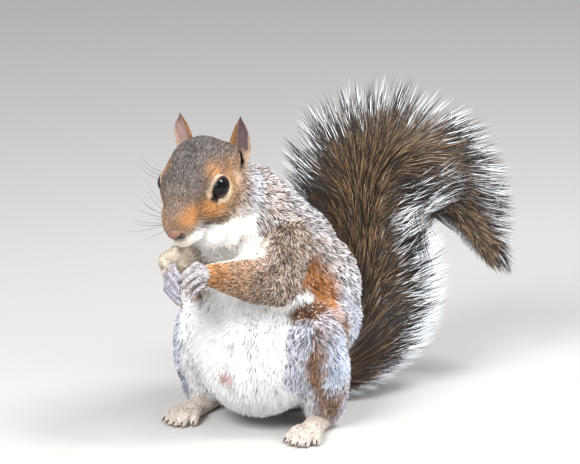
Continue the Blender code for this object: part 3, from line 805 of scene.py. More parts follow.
def markings(points, normals, near):
    """The whole coat's paint at some points; near says which of the nodes of flesh each is on."""
    paint = Paint(len(points))
    kinds, sides = KINDS[near], NODE_SIDES[near]
    x, y, z = (points - ORIGIN).T
    out = np.where(x > 0, x, -x - 9)
    wander = ripple(points, 16, 3) * 1.6 + ripple(points, 5, 4) * 1.2
    leg = np.isin(kinds, ("thigh", "shank"))
    bones = [JOINTS[s][k : k + 2] for s in EYES for k in (SHOULDER, ELBOW)]
    on_arm = np.isin(kinds, ("upper_arm", "forearm"))
    arm = on_arm * step(17, 13.5, np.min([from_line(points, *b) for b in bones], 0))
    trunk = np.isin(kinds, ("chest", "abdomen", "neck")) | (on_arm & (arm < 0.5))
    frosty = step(-45, -5, y) * step(112, 60, z) * (trunk | leg)
    paint.lay(0.9 * frosty, FROST, 0.9)
    paint.lay((trunk | leg) * step(96, 66, z) * 0.9, FROST, 0.7)
    paint.lay(trunk * np.clip(ripple(points, 15, 8), 0, 1) * 0.45 * step(80, 100, z), TAN, 0.8)
    for side in EYES:
        paint.lay(0.5 * soft(points, at(27 * side, -34, 112), (18, 20, 20)), TAN, 0.9)
        paint.lay(0.7 * soft(points, at(22 * side, -14, 134), (30, 26, 26)) * trunk, SHOULDER_FROST, 0.85)
        paint.lay(0.8 * soft(points, at(9 * side, -58, 150), (8, 9, 13)) * (kinds == "neck"), FROST, 0.9)
    paint.lay(arm * 0.75, ARM_BROWN, 0.85)
    # belly, chest and throat
    edge = np.interp(z, *np.array(BELLY_EDGE, float).T)
    narrow = step(edge + 3.5, edge - 3.5, out + wander)
    front = step(-0.25, 0.15, normals @ np.array([0, -0.95, -0.25]) + wander * 0.03)
    front *= step(4, -14, y)
    paint.lay(trunk * front * narrow, WHITE, 0)
    # painted shade: the white below the chest laid darker, as the lower belly takes more light
    paint.lay(trunk * front * narrow * step(98, 82, z), BELLY_SHADED_WHITE, 0)
    # legs: white inside and in front, an orange line, then frosted hairs, laid bluer and brighter as painted
    # light on the legs' shaded side
    ahead = leg * step(-14, -26, y + wander)
    wide = np.where(x > 0, x, -x - 18) + wander
    inner = step(-0.1, 0.45, -normals[:, 0] * sides - normals[:, 1] * 0.3 + wander * 0.03)
    # painted light on the lower legs: the frost laid blue as sky light shows it in shade
    paint.lay(leg * step(70, 50, z) * 0.6, LEG_FROST_SKYLIT, 0.6)
    paint.lay(ahead, FROST, 0.6)
    # painted light: the outer front of the legs pale and blue, as sky light shows their shaded side
    paint.lay(ahead * step(46, 50, wide), LEG_PALE_SKYLIT, 0.5)
    paint.lay(ahead * np.exp(-(((wide - 43) / 5) ** 2)) * step(76, 66, z), LEG_LINE, 0.5)
    white = leg * inner * step(39, 31, wide) + ahead * step(30, 25, wide)
    paint.lay(np.clip(white, 0, 1), LEG_WHITE, 0.15)
    for side in EYES:
        free = (1 - arm) * (1 - front * narrow * trunk)
        for place, radii, colour, strength in FLANK_SPOTS:
            spot = soft(points, at(place[0] * side, *place[1:]), radii) * (1 - arm)
            spot = (strength + 0.25) * spot * (free if colour == RUST else 1)
            paint.lay(np.clip(spot - 0.25, 0, 1), colour, 0.5)
    # arms, hands and feet
    wrist = np.minimum(*(np.linalg.norm(points - JOINTS[s][WRIST], axis=1) for s in EYES))
    reddish = 0.6 * (1 - step(6, 17, wrist + wander)) + 0.4 * (1 - step(15, 45, wrist + 3 * wander))
    paint.lay((kinds == "forearm") * reddish, ORANGE, 0.6)
    inside = step(-0.15, 0.35, np.where(sides > 0, -normals[:, 0], normals[:, 0] + 0.8))
    paint.lay(arm * inside * (sides > 0), ARM_INSIDE, 0)
    paint.lay(arm * inside * (sides < 0), CREAM, 0.1)
    far_wrist = soft(points, at(-18, -94, 111), (9, 13, 9)) * ((kinds == "forearm") | (kinds == "hand"))
    spot = soft(points, at(-1.4, -65, 40), (3.8, 5, 3.8))
    paint.lay(np.clip(1.2 * spot, 0, 1), SPOT_PINK, 0)
    paint.lay((kinds == "hand") * 1.0, HAND_COAT, 0.4)
    # painted shade over the far hand's coat
    paint.lay((kinds == "hand") * (sides < 0) * 1.0, FAR_HAND_COAT_SHADED, 0.4)
    paint.lay(np.clip(1.8 * far_wrist, 0, 1), CREAM, 0.1)
    paint.lay((kinds == "foot") * 1.0, FOOT_COAT, 0.35)
    paint_head(paint, points, kinds, wander)
    paint_ears(paint, points, normals, kinds, wander)
    return paint


def paint_ears(paint, points, normals, kinds, wander):
    """Ears tan outside and on the fold in front, dark at the tip, purplish inside, with painted light in the
    far one, painted shade in the near one and painted shade in the hollow.
    """
    for side in EYES:
        base, up, across, facing, length = ear_frame(side)
        here = (kinds == "ear") * (((points - HEAD) @ LEFT) * side > 0)
        rise = (points - base) @ up / length
        over = (points - base) @ across / (EAR_WIDTH[side] / 2)
        back = step(0.15, -0.25, normals @ facing)
        fold = step(-0.30, -0.46, over + 0.25 * (0.5 - rise))
        vein = np.exp(-(((over - 0.25 * np.sin(9 * rise)) / 0.12) ** 2)) * step(0.35, 0.5, rise)
        # the pink inside: painted lighter in the far ear where light shines through, painted darker in the
        # near ear's shade
        paint.lay(here * 1.0, EAR_PINK_LIT_AND_SHADED[side], 0)
        paint.lay(here * vein * 0.35, EAR_DARK, 0)
        paint.lay(here * step(0.42, 0.26, rise + wander * 0.01), EAR_CREAM, 0.05)
        paint.lay(here * np.exp(-(((over + 0.27) / 0.07) ** 2)) * 0.6, EAR_CREAM, 0)
        paint.lay(here * step(0.72, 0.92, over) * 0.7, EAR_CREAM, 0.05)
        # painted shade in the ear's hollow: two near-black spots
        for centre, radii in (((0.20, 0.08), (0.09, 0.22)), ((0.09, 0.30), (0.05, 0.18))):
            hollow = soft(np.stack([rise, over], -1), np.array(centre), radii)
            paint.lay(here * np.clip(2 * hollow, 0, 1), EAR_HOLLOW_SHADE, 0)
        paint.lay(here * np.maximum(back, fold), EAR_TAN, 0.35)
        paint.lay(here * step(0.80, 1.0, rise) * 0.8, EAR_DARK, 0.1)


WHISKER_ROOTS = [
    (31.5 - (2.6 * k) % 4 - 2.4 * (k % 4), -4.4 - 1.8 * (k // 4), 5.2 + 0.9 * (k % 4)) for k in range(12)
]  # forward, up and out: three rows of four, not quite in line


def paint_head(paint, points, kinds, wander):
    forward, up, left = head_places(points).T
    out = abs(left)
    on_head = 1 - step(36, 46, np.linalg.norm(points - HEAD, axis=1))
    on_head = np.isin(kinds, ("head", "nose", "neck")) * on_head
    shift = wander * 0.25
    places = np.stack([forward + shift, up + shift, out], -1)

    def brush(centre, radii, colour, grizzle, strength):
        spot = on_head * soft(places, np.array(centre), radii)
        paint.lay(np.clip(strength * spot, 0, 1), colour, grizzle)

    paint.lay(on_head * step(-22, -16, up + 0.3 * forward), CROWN, 0.9)
    brush((0, -12, 15), (22, 12, 13), TAN, 0.6, 1.2)
    brush((-8, -20, 16), (12, 8, 10), TAN, 0.7, 1.0)
    brush((-19, -27, 17), (9, 10, 9), FROST, 0.9, 1.0)
    brush((12, -7, 14), (15, 8, 9), ORANGE, 0.3, 1.2)
    brush((-6, -4, 16), (9, 8, 7), ORANGE, 0.4, 0.7)
    brush((-11, -12, 16), (7, 9, 8), CHEEK_CREAM, 0.3, 0.9)
    brush((2, 7, 15.5), (6, 3.5, 6), ORANGE, 0.3, 0.8)
    brush((29, -1, 8), (9, 5.5, 6), ORANGE, 0.2, 1.2)
    brush((24, 7, 0), (11, 5, 7), BRIDGE_BROWN, 0.7, 0.9)
    brush((34, -1, 0), (6, 4.5, 6), MUZZLE_BROWN, 0.15, 1.0)
    brush((31, -10.5, 5), (8, 3, 6), BUFF, 0.1, 0.8)
    below = step(-19, -23, up + shift - 0.55 * (forward - 16))
    paint.lay(on_head * below, WHITE, 0)
    brush((30, -15, 0), (9, 4, 9), WHITE, 0, 1.3)
    brush((35.5, -14, 0), (8, 6, 10), CREAM, 0.1, 0.9)
    # painted shadow under the pad of the nose, at the top of the mouth
    brush((36, -10.6, 0), (3.0, 1.5, 4.5), SHADE_BLACK, 0, 1.0)
    for root in WHISKER_ROOTS:
        brush(root, (1.3, 0.9, 1.6), WHISKER_BED, 0.1, 0.55)
    for side, eye in EYES.items():
        past, far = past_lid(points, side)
        close = step(EYE_RADIUS + 5, EYE_RADIUS + 3, far)
        lower = step(0.8, -0.4, unit(points - eye) @ UP)
        ring = np.exp(-(((past - 0.24) / lerp(0.11, 0.20, lower)) ** 2))
        paint.lay(close * np.clip((0.7 + 0.6 * lower) * ring, 0, 1), BUFF, 0.05)
        paint.lay(close * step(0.11, 0.04, past), LID, 0)


def skin_colours(name, surface):
    """Colours of a skin: the coat's markings, but for the nose, the hands and the tail."""
    if name == "tail":
        return np.tile(TAIL_SKIN, (len(surface.points), 1))
    paint = markings(surface.points, surface.normals(), surface.near)
    everywhere = np.ones(len(surface.points))
    kind, side = node_kind(name)
    if kind == "nose":
        places = head_places(surface.points)
        paint.lay(everywhere, NOSE_PINK, 0)
        # painted shade in both nostrils
        for s in EYES:
            hole = soft(places, np.array([36.8, -7.7, NOSE_LEFT + 3.4 * s]), (2.8, 1.7, 2.5))
            paint.lay(np.clip(1.5 * hole, 0, 1), SHADE_BLACK, 0)
        # painted shade under the pad of the nose
        paint.lay(step(-7.8, -9.2, places[:, 1]) * 0.9, SHADE_BLACK, 0)
    if kind == "hand":
        tips = [finger(side, k)[3] for k in range(4)]
        away = np.min([np.linalg.norm(surface.points - tip, axis=1) for tip in tips], axis=0)
        # the bare skin of the hand dark, partly painted shade for the gaps between the fingers
        paint.lay(everywhere, HAND_SKIN_AND_GAP_SHADE, 0)
        paint.lay(step(4.5, 2, away) * 0.8, FINGERTIP, 0)
    return paint.colour * SKIN_SHADE if kind == "body" else paint.colour


# --- Materials ---


def material(name, roughness, specular=0.5, colour=None, bump=0.0, scale=900):
    """A plain shader whose colour is one value or the mesh's painted colours, with fine bump if asked."""
    made = bpy.data.materials.new(name)
    made.use_nodes = True
    nodes, links = made.node_tree.nodes, made.node_tree.links
    shader = nodes["Principled BSDF"]
    shader.inputs["Roughness"].default_value = roughness
    shader.inputs["Specular IOR Level"].default_value = specular
    if colour:
        shader.inputs["Base Color"].default_value = (*colour, 1)
    else:
        painted = nodes.new("ShaderNodeAttribute")
        painted.attribute_name = "coat"
        links.new(painted.outputs["Color"], shader.inputs["Base Color"])
    if bump:
        where = nodes.new("ShaderNodeTexCoord")
        noise = nodes.new("ShaderNodeTexNoise")
        noise.inputs["Scale"].default_value = scale
        noise.inputs["Detail"].default_value = 3
        relief = nodes.new("ShaderNodeBump")
        relief.inputs["Strength"].default_value = bump
        relief.inputs["Distance"].default_value = 0.0004
        links.new(where.outputs["Object"], noise.inputs["Vector"])
        links.new(noise.outputs["Fac"], relief.inputs["Height"])
        links.new(relief.outputs["Normal"], shader.inputs["Normal"])
    return made


SKIN_MATERIAL = material("skin", 0.62, 0.35, bump=0.5)
NOSE_MATERIAL = material("nose_skin", 0.42, 0.5, bump=0.5, scale=1800)
FUR_MATERIAL = material("fur", 0.62, 0.3)
TAIL_MATERIAL = material("tail_fur", 0.55, 0.35)
EYE_MATERIAL = material("eye", 0.03, 0.26, (0.001, 0.0008, 0.001))
CLAW_MATERIAL = material("claw", 0.3, 0.5, (0.045, 0.035, 0.03))
WHISKER_MATERIAL = material("whisker", 0.6, 0.2, (0.012, 0.010, 0.009))
LID_MATERIAL = material("lid_edge", 0.45, 0.4, LID)
FLOOR_MATERIAL = material("floor", 0.85, 0.1, (0.50, 0.49, 0.475))

# --- Tufts ---

TUFT = np.array([(0, 2, 1), (1, 2, 3), (0, 1, 3), (0, 3, 2)])  # root, left, right, tip: a thin closed sliver
FLOOR_CLEAR = 0.4  # the lowest that a tuft reaches
TAIL_CLEAR = 0.1  # the lowest that a hair of the tail reaches
ROOT_SUNK = 0.25  # how far under the skin a tuft starts
BLACK_SHARE, PALE_SHARE = 0.40, 0.32  # of the tufts with such tips, where the coat is all grizzled
TIP_BLACK = np.array([0.03, 0.024, 0.02])
TIP_FROST = np.array([0.80, 0.80, 0.83])
PATCH = 0.003  # size of one tuft's patch on the unwrap


def corner_normals(points, faces, soft_normals):
    """Normals at the faces' corners: soft where a face looks outwards, its own where it looks inwards."""
    own = unit(face_normals(points[faces]))[:, None]
    kind = soft_normals[faces]
    outwards = (own * kind).sum(-1, keepdims=True) > 0
    return unit(np.where(outwards, kind + 0.3 * own, 0.6 * own + 0.6 * kind)).reshape(-1, 3)


def painted_mesh(name, points, faces, made_of, colours, normals=None, uv=None):
    """A mesh object with a colour for each point, and with soft normals and an unwrap if given."""
    obj = mesh_object(name, points, faces, made_of)
    mesh = obj.data
    shade = mesh.attributes.new("coat", "FLOAT_COLOR", "POINT")
    rgba = np.ones((len(points), 4), np.float32)
    rgba[:, :3] = np.clip(colours, 0, 1)
    shade.data.foreach_set("color", rgba.ravel())
    if uv is not None:
        layer = mesh.uv_layers.new(name="OFBake")
        layer.uv.foreach_set("vector", uv[faces.ravel()].astype(np.float32).ravel())
    if normals is not None:
        mesh.normals_split_custom_set(corner_normals(points, faces, unit(normals)).astype(np.float32))
    return obj


def unwrap(points, start, end):
    """Places on a round unwrap about the line from start to end."""
    axis = unit(end - start)
    side = unit(np.cross(axis, [0.13, 0.2, 0.97]))
    over = np.cross(axis, side)
    away = points - start
    turn = np.arctan2(away @ over, away @ side) / math.tau + 0.5
    rise = (away @ axis) / np.linalg.norm(end - start)
    low, high = rise.min(), rise.max()
    rise = (rise - low) / max(high - low, 1e-6)
    return 0.01 + 0.98 * np.stack([turn, rise], -1)


class Roots:
    """Where tufts stand on a surface: at random, about as many layers deep as is given for each point."""

    def __init__(self, surface, layers):
        normals = surface.normals()
        area = np.linalg.norm(face_normals(surface.points[surface.faces]), axis=1) / 2
        size = surface.fields[surface.faces].mean(axis=1)
        wanted = area / (0.5 * size[:, 1] * size[:, 2])
        wanted *= layers[surface.faces].mean(axis=1)
        count = int(wanted.sum())
        face = np.searchsorted(np.cumsum(wanted) / wanted.sum(), rng.random(count))
        share = rng.dirichlet((1, 1, 1), count)
        corners = surface.faces[face]

        def blend(values):
            return (values[corners] * share[..., None]).sum(axis=1)

        self.point = blend(surface.points)
        self.normal = unit(blend(normals))
        fields = blend(surface.fields)
        self.depth, self.length, self.width = fields[:, :3].T
        self.lie = fields[:, 3:]
        self.near = surface.near[corners[:, 0]]


def lowered(points, height, tree):
    """Points brought down to at most this height over the skin."""
    made = points.copy()
    for k, p in enumerate(points):
        _, normal, _, far = tree.find_nearest(p)
        if far > height[k]:
            made[k] -= np.array(normal) * (far - height[k])
    return made


def level_colours(roots, paint):
    """Root, middle and tip colours of each tuft: dark at the skin, grizzled at the tip."""
    count = len(roots.point)
    shade = rng.normal(1.0, 0.14, (count, 1)) + ripple(roots.point, 7, 11)[:, None] * 0.07
    white = step(0.35, 0.7, paint.colour.mean(axis=1))[:, None]
    middle = paint.colour * lerp(shade, 1 + 0.4 * (shade - 1), white)
    root = middle * lerp(0.45, 0.92, white)
    tip = middle * lerp(1.15, 1.0, white)
    chance = rng.random(count)
    black = chance < paint.grizzle * BLACK_SHARE
    pale = chance > 1 - paint.grizzle * PALE_SHARE
    tip[black] = TIP_BLACK
    middle[black] = lerp(middle[black], TIP_BLACK, 0.7)
    tinted = lerp(0.45, 0.75, step(6, 4, roots.length))[:, None]
    bright = lerp(TIP_FROST, np.minimum(2.4 * paint.colour, 0.9), tinted)
    tip[pale] = lerp(middle, bright, 0.85)[pale]
    middle[pale] = lerp(middle, 0.75 * bright, 0.4)[pale]
    return root, middle, tip


def coat_piece(group, roots, paint, tree):
    """One group's tufts as one joined mesh."""
    count = len(roots.point)
    lie = roots.lie + 0.16 * ripple(roots.point, 9, 21, 3) + rng.normal(0, 0.10, (count, 3))
    lie = unit(lie - roots.normal * (lie * roots.normal).sum(-1, keepdims=True))
    length = roots.length * rng.uniform(0.7, 1.1, count)
    rise = np.minimum(roots.depth * rng.uniform(0.7, 1.12, count), length * 0.8)
    run = np.sqrt(length**2 - rise**2)
    across = np.cross(roots.normal, lie)
    root = roots.point - roots.normal * ROOT_SUNK
    middle = root + roots.normal * (ROOT_SUNK + rise * 0.66)[:, None] + lie * (run * 0.42)[:, None]
    clump = ripple(roots.point, 4.5, 31) * 0.9 + ripple(roots.point, 11, 32)
    tip = root + roots.normal * (rise + ROOT_SUNK)[:, None] + lie * run[:, None]
    tip += across * (clump * roots.length * 0.10)[:, None]
    middle = lowered(middle, rise * 0.8 + 0.1, tree)
    tip = lowered(tip, rise + 0.05, tree)
    for level in (root, middle, tip):
        level[:, 2] = np.maximum(level[:, 2], FLOOR_CLEAR)
    half = (roots.width * rng.uniform(0.7, 1.2, count) / 2)[:, None]
    points = np.stack([root, middle + across * half, middle - across * half, tip], axis=1).reshape(-1, 3)
    shine = [roots.normal, roots.normal + 0.5 * across, roots.normal - 0.5 * across, roots.normal + 0.2 * lie]
    normals = np.stack(shine, axis=1).reshape(-1, 3)
    levels = level_colours(roots, paint)
    colours = np.stack([levels[k] for k in (0, 1, 1, 2)], axis=1).reshape(-1, 3)
    place = unwrap(roots.point, *axis_of(group))
    spread = np.array([(0, -0.5), (-0.5, 0), (0.5, 0), (0, 0.5)]) * PATCH
    uv = (place[:, None] + spread[None]).reshape(-1, 2)
    faces = (TUFT[None] + 4 * np.arange(count)[:, None, None]).reshape(-1, 3)
    return painted_mesh("coat_" + group, points, faces, FUR_MATERIAL, colours, normals, uv)


def tree_of(surface):
    return BVHTree.FromPolygons(surface.points.tolist(), surface.faces.tolist())


def coat_group(roots, on_body):
    """The name of the coat piece that each tuft belongs to."""
    plain = {"upper_arm": "arm", "forearm": "arm", "thigh": "leg", "shank": "leg", "nose": "head"}
    if on_body:
        plain |= {"hand": "arm", "foot": "leg"}
    names = []
    for node in FLESH:
        kind, side = node_kind(node)
        suffix = "_" + SIDES[side] if node.endswith(("_l", "_r")) else ""
        names.append(plain.get(kind, kind) + suffix)
    groups = np.array(names, dtype="U16")[roots.near]
    forward, _, left = head_places(roots.point).T
    halves = np.where(left > 0, "_l", "_r")
    face = np.where(forward > 8, "face", "crown")
    on_head = (groups == "head") | (on_body & np.char.startswith(groups, "ear"))
    groups = np.where(on_head, np.char.add(face, halves), groups)
    return np.where(groups == "abdomen", np.char.add(groups, halves), groups)


AXES = {
    "face": (HEAD, HEAD + FORWARD * 30),
    "crown": (HEAD, HEAD + FORWARD * 30),
    "neck": (at(-4, -50, 128), at(-7, -75, 148)),
    "chest": (at(0, -44, 80), at(0, -50, 130)),
    "abdomen": (at(0, -14, 10), at(0, -24, 90)),
}


def axis_of(group):
    """The line that a group's unwrap goes round."""
    kind, side = node_kind(group)
    if kind in AXES:
        return AXES[kind]
    joints = JOINTS[side]
    lines = {
        "arm": (joints[SHOULDER], joints[WRIST]),
        "leg": (joints[HIP] * 0.5 + joints[KNEE] * 0.5 + [0, 0, 10], joints[ANKLE]),
        "hand": (joints[WRIST], lerp(*KNUCKLES[side], 0.5)),
        "foot": (joints[ANKLE], joints[TOES]),
        "ear": (in_head(-20, -9, 17 * side), in_head(-33, 15, 21 * side)),
    }
    return lines[kind]


BODY_LAYERS, HAND_LAYERS, FOOT_LAYERS, EAR_LAYERS = 4.1, 2.5, 5.0, 4.0  # how many tufts lie one over another
NOSE_CLEAR = 5.0  # no tuft stands nearer to the pad of the nose


def coat_layers(name, surface):
    """How many layers of tufts each point of a skin bears."""
    kind, side = node_kind(name)
    if kind == "body":
        layers = np.full(len(surface.points), BODY_LAYERS)
        for s in EYES:
            past, far = past_lid(surface.points, s)
            layers[(far < EYE_RADIUS + 1.5) & (past < 0.09)] = 0
        layers[np.linalg.norm(surface.points - in_head(36, -8.5, NOSE_LEFT), axis=1) < NOSE_CLEAR] = 0
        return layers
    normals = surface.normals()
    if kind == "hand":
        return HAND_LAYERS * step(-0.2, 0.3, normals @ np.array([0, -0.6, 0.8]))
    if kind == "foot":
        return FOOT_LAYERS * step(-0.3, 0.2, normals[:, 2])
    base, up, across, facing, length = ear_frame(side)
    away = surface.points - base
    rise, over = away @ up / length, away @ across / (EAR_WIDTH[side] / 2)
    outside = step(0.35, -0.15, normals @ facing)
    rim = np.maximum(step(-0.2, -0.5, over), step(0.7, 0.9, over))
    hollow = soft(np.stack([rise, over], -1), np.array([0.17, 0.08]), (0.10, 0.2))
    root = step(0.45, 0.25, rise) * step(0.5, 0.2, hollow)
    return EAR_LAYERS * np.max([outside, rim, root], axis=0) * step(1.0, 0.9, rise) + 0.3


def make_coat():
    """All tufts but the tail's."""
    pieces = []
    trees = {name: tree_of(surface) for name, surface in skins.items()}
    for name, surface in skins.items():
        if name in ("nose", "tail"):
            continue
        roots = Roots(surface, coat_layers(name, surface))
        on_body = name == "body"
        if not on_body:
            outside = []
            for p in roots.point:
                spot, normal, _, _ = trees["body"].find_nearest(p)
                outside.append((Vector(p) - spot).dot(normal) > 0.1)
            roots = part(roots, np.array(outside))
        paint = markings(roots.point, roots.normal, roots.near)
        groups = coat_group(roots, on_body)
        for group in np.unique(groups):
            here = groups == group
            pieces.append(coat_piece(group, part(roots, here), part(paint, here), trees[name]))
    return pieces


# --- Tail hairs ---

COVER_HAIRS = 19000
FRINGE_HAIRS = 13500
TAIL_LENGTHS = 6
TAIL_NODES = sorted(node for node in frame["nodes"] if node.startswith("tail"))
BONE_COUNT = 400
SIDES_OF_HAIR = ((2, 1), (3, 2), (1, 3))


def hair_faces(rings):
    """The faces of one closed hair: its root, this many rings of three points, and its tip."""
    faces = [(0, 1, 2), (0, 2, 3), (0, 3, 1)]
    for k in range(rings - 1):
        for a, b in SIDES_OF_HAIR:
            faces += [(a + 3 * k, b + 3 * k, b + 3 * k + 3), (a + 3 * k, b + 3 * k + 3, a + 3 * k + 3)]
    last = 3 * (rings - 1)
    return np.array(faces + [(a + last, b + last, 3 * rings + 1) for a, b in SIDES_OF_HAIR])


class TailHairs:
    """Hairs that rise from the tail's bones, sweep towards its tip and end near its outline."""

    def __init__(self, count, flatness, inward, lean, outline):
        self.bones, sizes = tail_line(BONE_COUNT)
        tangents = unit(np.gradient(self.bones, axis=0))
        steps = np.linalg.norm(np.diff(self.bones, axis=0), axis=1)
        stretch = np.concatenate([[0], np.cumsum(steps)])
        self.place = np.interp(rng.random(count) ** 0.92, stretch / stretch[-1], np.arange(BONE_COUNT))
        self.along = self.place / BONE_COUNT
        low = np.minimum(self.place.astype(int), BONE_COUNT - 2)
        centre = lerp(self.bones[low], self.bones[low + 1], (self.place - low)[:, None])
        tangent = tangents[low]
        sideways = unit(np.cross(tangent, TAIL_AWAY))
        thick = np.cross(sideways, tangent)
        around = rng.uniform(0, math.tau, count)
        around = around - flatness * np.sin(2 * around) + inward * np.sin(around)
        self.radial = sideways * np.cos(around)[:, None] + thick * np.sin(around)[:, None]
        self.edge = np.abs(np.cos(around))
        self.outer = (np.cos(around) > 0) * 1.0
        tilt = np.radians(lerp(lean[0], lean[1], self.edge)) + rng.normal(0, 0.10, count)
        tilt *= 1 - 0.85 * step(0.90, 1.0, self.along)
        sweep = self.radial * np.sin(tilt)[:, None] + tangent * np.cos(tilt)[:, None]
        sweep += 0.08 * ripple(centre + self.radial * 6, 10, 41, 3) + rng.normal(0, 0.04, (count, 3))
        self.sweep = unit(sweep)
        self.root = centre + self.radial * (sizes[low] * 0.8)[:, None]
        hits = [outline.ray_cast(r, w) for r, w in zip(self.root, self.sweep)]
        self.reach = np.array([8.0 if hit[0] is None else hit[3] for hit in hits])

    def spindles(self, length, half, rings):
        """Points and soft normals; rings are pairs of place along the hair and thickness."""
        side = (self.radial * self.sweep).sum(-1, keepdims=True)
        bow = (self.radial - self.sweep * side) * (length * 0.10)[:, None]
        across = unit(np.cross(self.sweep, self.radial + 1e-3))
        over = np.cross(across, self.sweep)
        ways = (across, -0.5 * across + 0.87 * over, -0.5 * across - 0.87 * over)
        points, shine = [self.root], [self.radial]
        for along, thick in rings:
            along = np.broadcast_to(along, len(length))[:, None]
            middle = self.root + self.sweep * length[:, None] * along + bow * np.sin(math.pi * along)
            for way in ways:
                points.append(middle + way * half * thick)
                shine.append(self.radial + 0.9 * way)
        points.append(self.root + self.sweep * length[:, None])
        shine.append(self.radial + 0.3 * self.sweep)
        points = np.stack(points, 1)
        points[..., 2] = np.maximum(points[..., 2], TAIL_CLEAR)
        return points, np.stack(shine, 1)

    def pieces(self, name, points, shine, colours, rings):
        """The hairs as one joined mesh for each length of the tail."""
        made = []
        length_of = np.minimum((self.along * TAIL_LENGTHS).astype(int), TAIL_LENGTHS - 1)
        rises = np.array([-0.5] + [float(np.mean(r)) - 0.5 for r in rings for _ in range(3)] + [0.5])
        turns = np.array([0.0] + [t for _ in rings for t in (-0.4, 0.0, 0.4)] + [0.0])
        spread = np.stack([turns, rises], -1) * PATCH
        wide = 3 * len(rings) + 2
        for k in range(TAIL_LENGTHS):
            here = length_of == k
            ends = (int(j * (BONE_COUNT - 1) / TAIL_LENGTHS) for j in (k, k + 1))
            uv = unwrap(self.root[here], *(self.bones[j] for j in ends))
            uv = (uv[:, None] + spread[None]).reshape(-1, 2)
            starts = wide * np.arange(here.sum())[:, None, None]
            faces = (hair_faces(len(rings))[None] + starts).reshape(-1, 3)
            flat = [values[here].reshape(-1, 3) for values in (points, colours, shine)]
            made.append(painted_mesh(f"{name}_{k + 1}", flat[0], faces, TAIL_MATERIAL, *flat[1:], uv))
        return made


TAIL_BASE = np.array([0.10, 0.062, 0.036])
TAIL_TAN = np.array([0.35, 0.215, 0.105])
TAIL_BLACK = np.array([0.026, 0.021, 0.02])
TAIL_DARK = lerp(TAIL_BASE, TAIL_BLACK, 0.6)
TAIL_WHITE = np.array([0.79, 0.82, 0.85])


def banded(shade, bands):
    """Colours along each hair: its root, three points for each ring, and its tip."""
    root, *rings, tip = (np.clip(band * shade, 0, 1) for band in bands)
    return np.stack([root] + [ring for ring in rings for _ in range(3)] + [tip], 1)


def cover_hairs(outline):
    """The tail's middle: dark hairs whose tan, black and white tips show as flecks."""
    hairs = TailHairs(COVER_HAIRS, 0.12, 0.0, (30, 58), outline)
    count = len(hairs.reach)
    length = np.minimum(hairs.reach, rng.uniform(40, 54, count)) * rng.uniform(0.5, 1.0, count) ** 0.6
    length *= 1 - lerp(0.30, 0.14, hairs.outer) * step(0.5, 0.85, hairs.edge)
    places = (0.5, 0.8)
    half = rng.uniform(0.13, 0.22, (count, 1))
    points, shine = hairs.spindles(length, half, list(zip(places, (1.0, 0.85))))
    shade = rng.normal(1, 0.2, (count, 1)) + 0.12 * ripple(hairs.root + hairs.radial * 8, 12, 43)[:, None]
    chance = rng.random((count, 1))
    along = hairs.along[:, None]
    black = lerp(0.60, 0.34, step(0.2, 0.5, along))
    grey = lerp(0.94, 0.77, np.maximum(step(0.55, 0.75, along), step(0.34, 0.22, along)))
    tip = np.where(chance < black, TAIL_BLACK, np.where(chance < grey, TAIL_TAN * 1.1, TAIL_WHITE * 0.75))
    ring = lerp(TAIL_BLACK, TAIL_TAN, np.where(chance < black, 0.1, 0.7))
    colours = banded(shade, (TAIL_BASE, TAIL_DARK, ring, tip))
    return hairs.pieces("coat_tail", points, shine, colours, places)


def fringe_hairs(outline):
    """The tail's edges: long hairs with a black band and a long white end."""
    hairs = TailHairs(FRINGE_HAIRS, 0.46, 0.28, (44, 62), outline)
    count = len(hairs.reach)
    reach = hairs.reach * (1 + 0.10 * hairs.outer * step(0.3, 0.6, hairs.along))
    length = np.minimum(reach, rng.uniform(50, 58, count)) * rng.uniform(0.86, 1.1, count)
    places = np.stack([np.full(count, 0.45), 1 - 13.5 / length, 1 - 10.5 / length]).clip(0.3, 0.9)
    half = rng.uniform(0.13, 0.25, (count, 1))
    points, shine = hairs.spindles(length, half, list(zip(places, (0.9, 1, 1))))
    shade = rng.normal(1, 0.08, (count, 1))
    short = step(0.95, 0.82, length / hairs.reach)
    bend = np.exp(-(((hairs.along - 0.63) / 0.15) ** 2))
    dim = rng.random(count) < 0.08 + 0.62 * hairs.outer + bend * (1 - hairs.outer)
    dark = np.max([dim, step(0.93, 0.80, hairs.edge), short], axis=0)[:, None]
    end = lerp(TAIL_WHITE, TAIL_BLACK, dark)
    colours = banded(shade, (TAIL_BASE, TAIL_DARK, TAIL_BLACK, end, end))
    return hairs.pieces("fringe_tail", points, shine, colours, places)


def tail_pieces():
    outline = tree_of(Surface(melted("outline", [cad_shape(node, 0.35) for node in TAIL_NODES], 2.5, 6)))
    return cover_hairs(outline) + fringe_hairs(outline)


# --- Skin pieces, eyes, claws and whiskers ---


def make_skin():
    """The skin of the whole animal as one piece, the pad of the nose and the edges of the lids."""
    points, faces, colours = [], [], []
    start = 0
    for name, surface in skins.items():
        if name != "nose":
            points.append(surface.points)
            faces.append(surface.faces + start)
            colours.append(skin_colours(name, surface))
            start += len(surface.points)
    skin = painted_mesh("skin", np.vstack(points), np.vstack(faces), SKIN_MATERIAL, np.vstack(colours))
    pad = skins["nose"]
    nose = painted_mesh("nose_pad", pad.points, pad.faces, NOSE_MATERIAL, skin_colours("nose", pad))
    return skin, nose, mesh_object("lid_rims", *joined(lid_rims()), LID_MATERIAL)


def make_eyes():
    made = []
    for side, eye in EYES.items():
        form = ball(eye, [EYE_RADIUS] * 3, rings=40, segments=64)
        made.append(mesh_object("eyeball_" + SIDES[side], *form, EYE_MATERIAL))
    return made


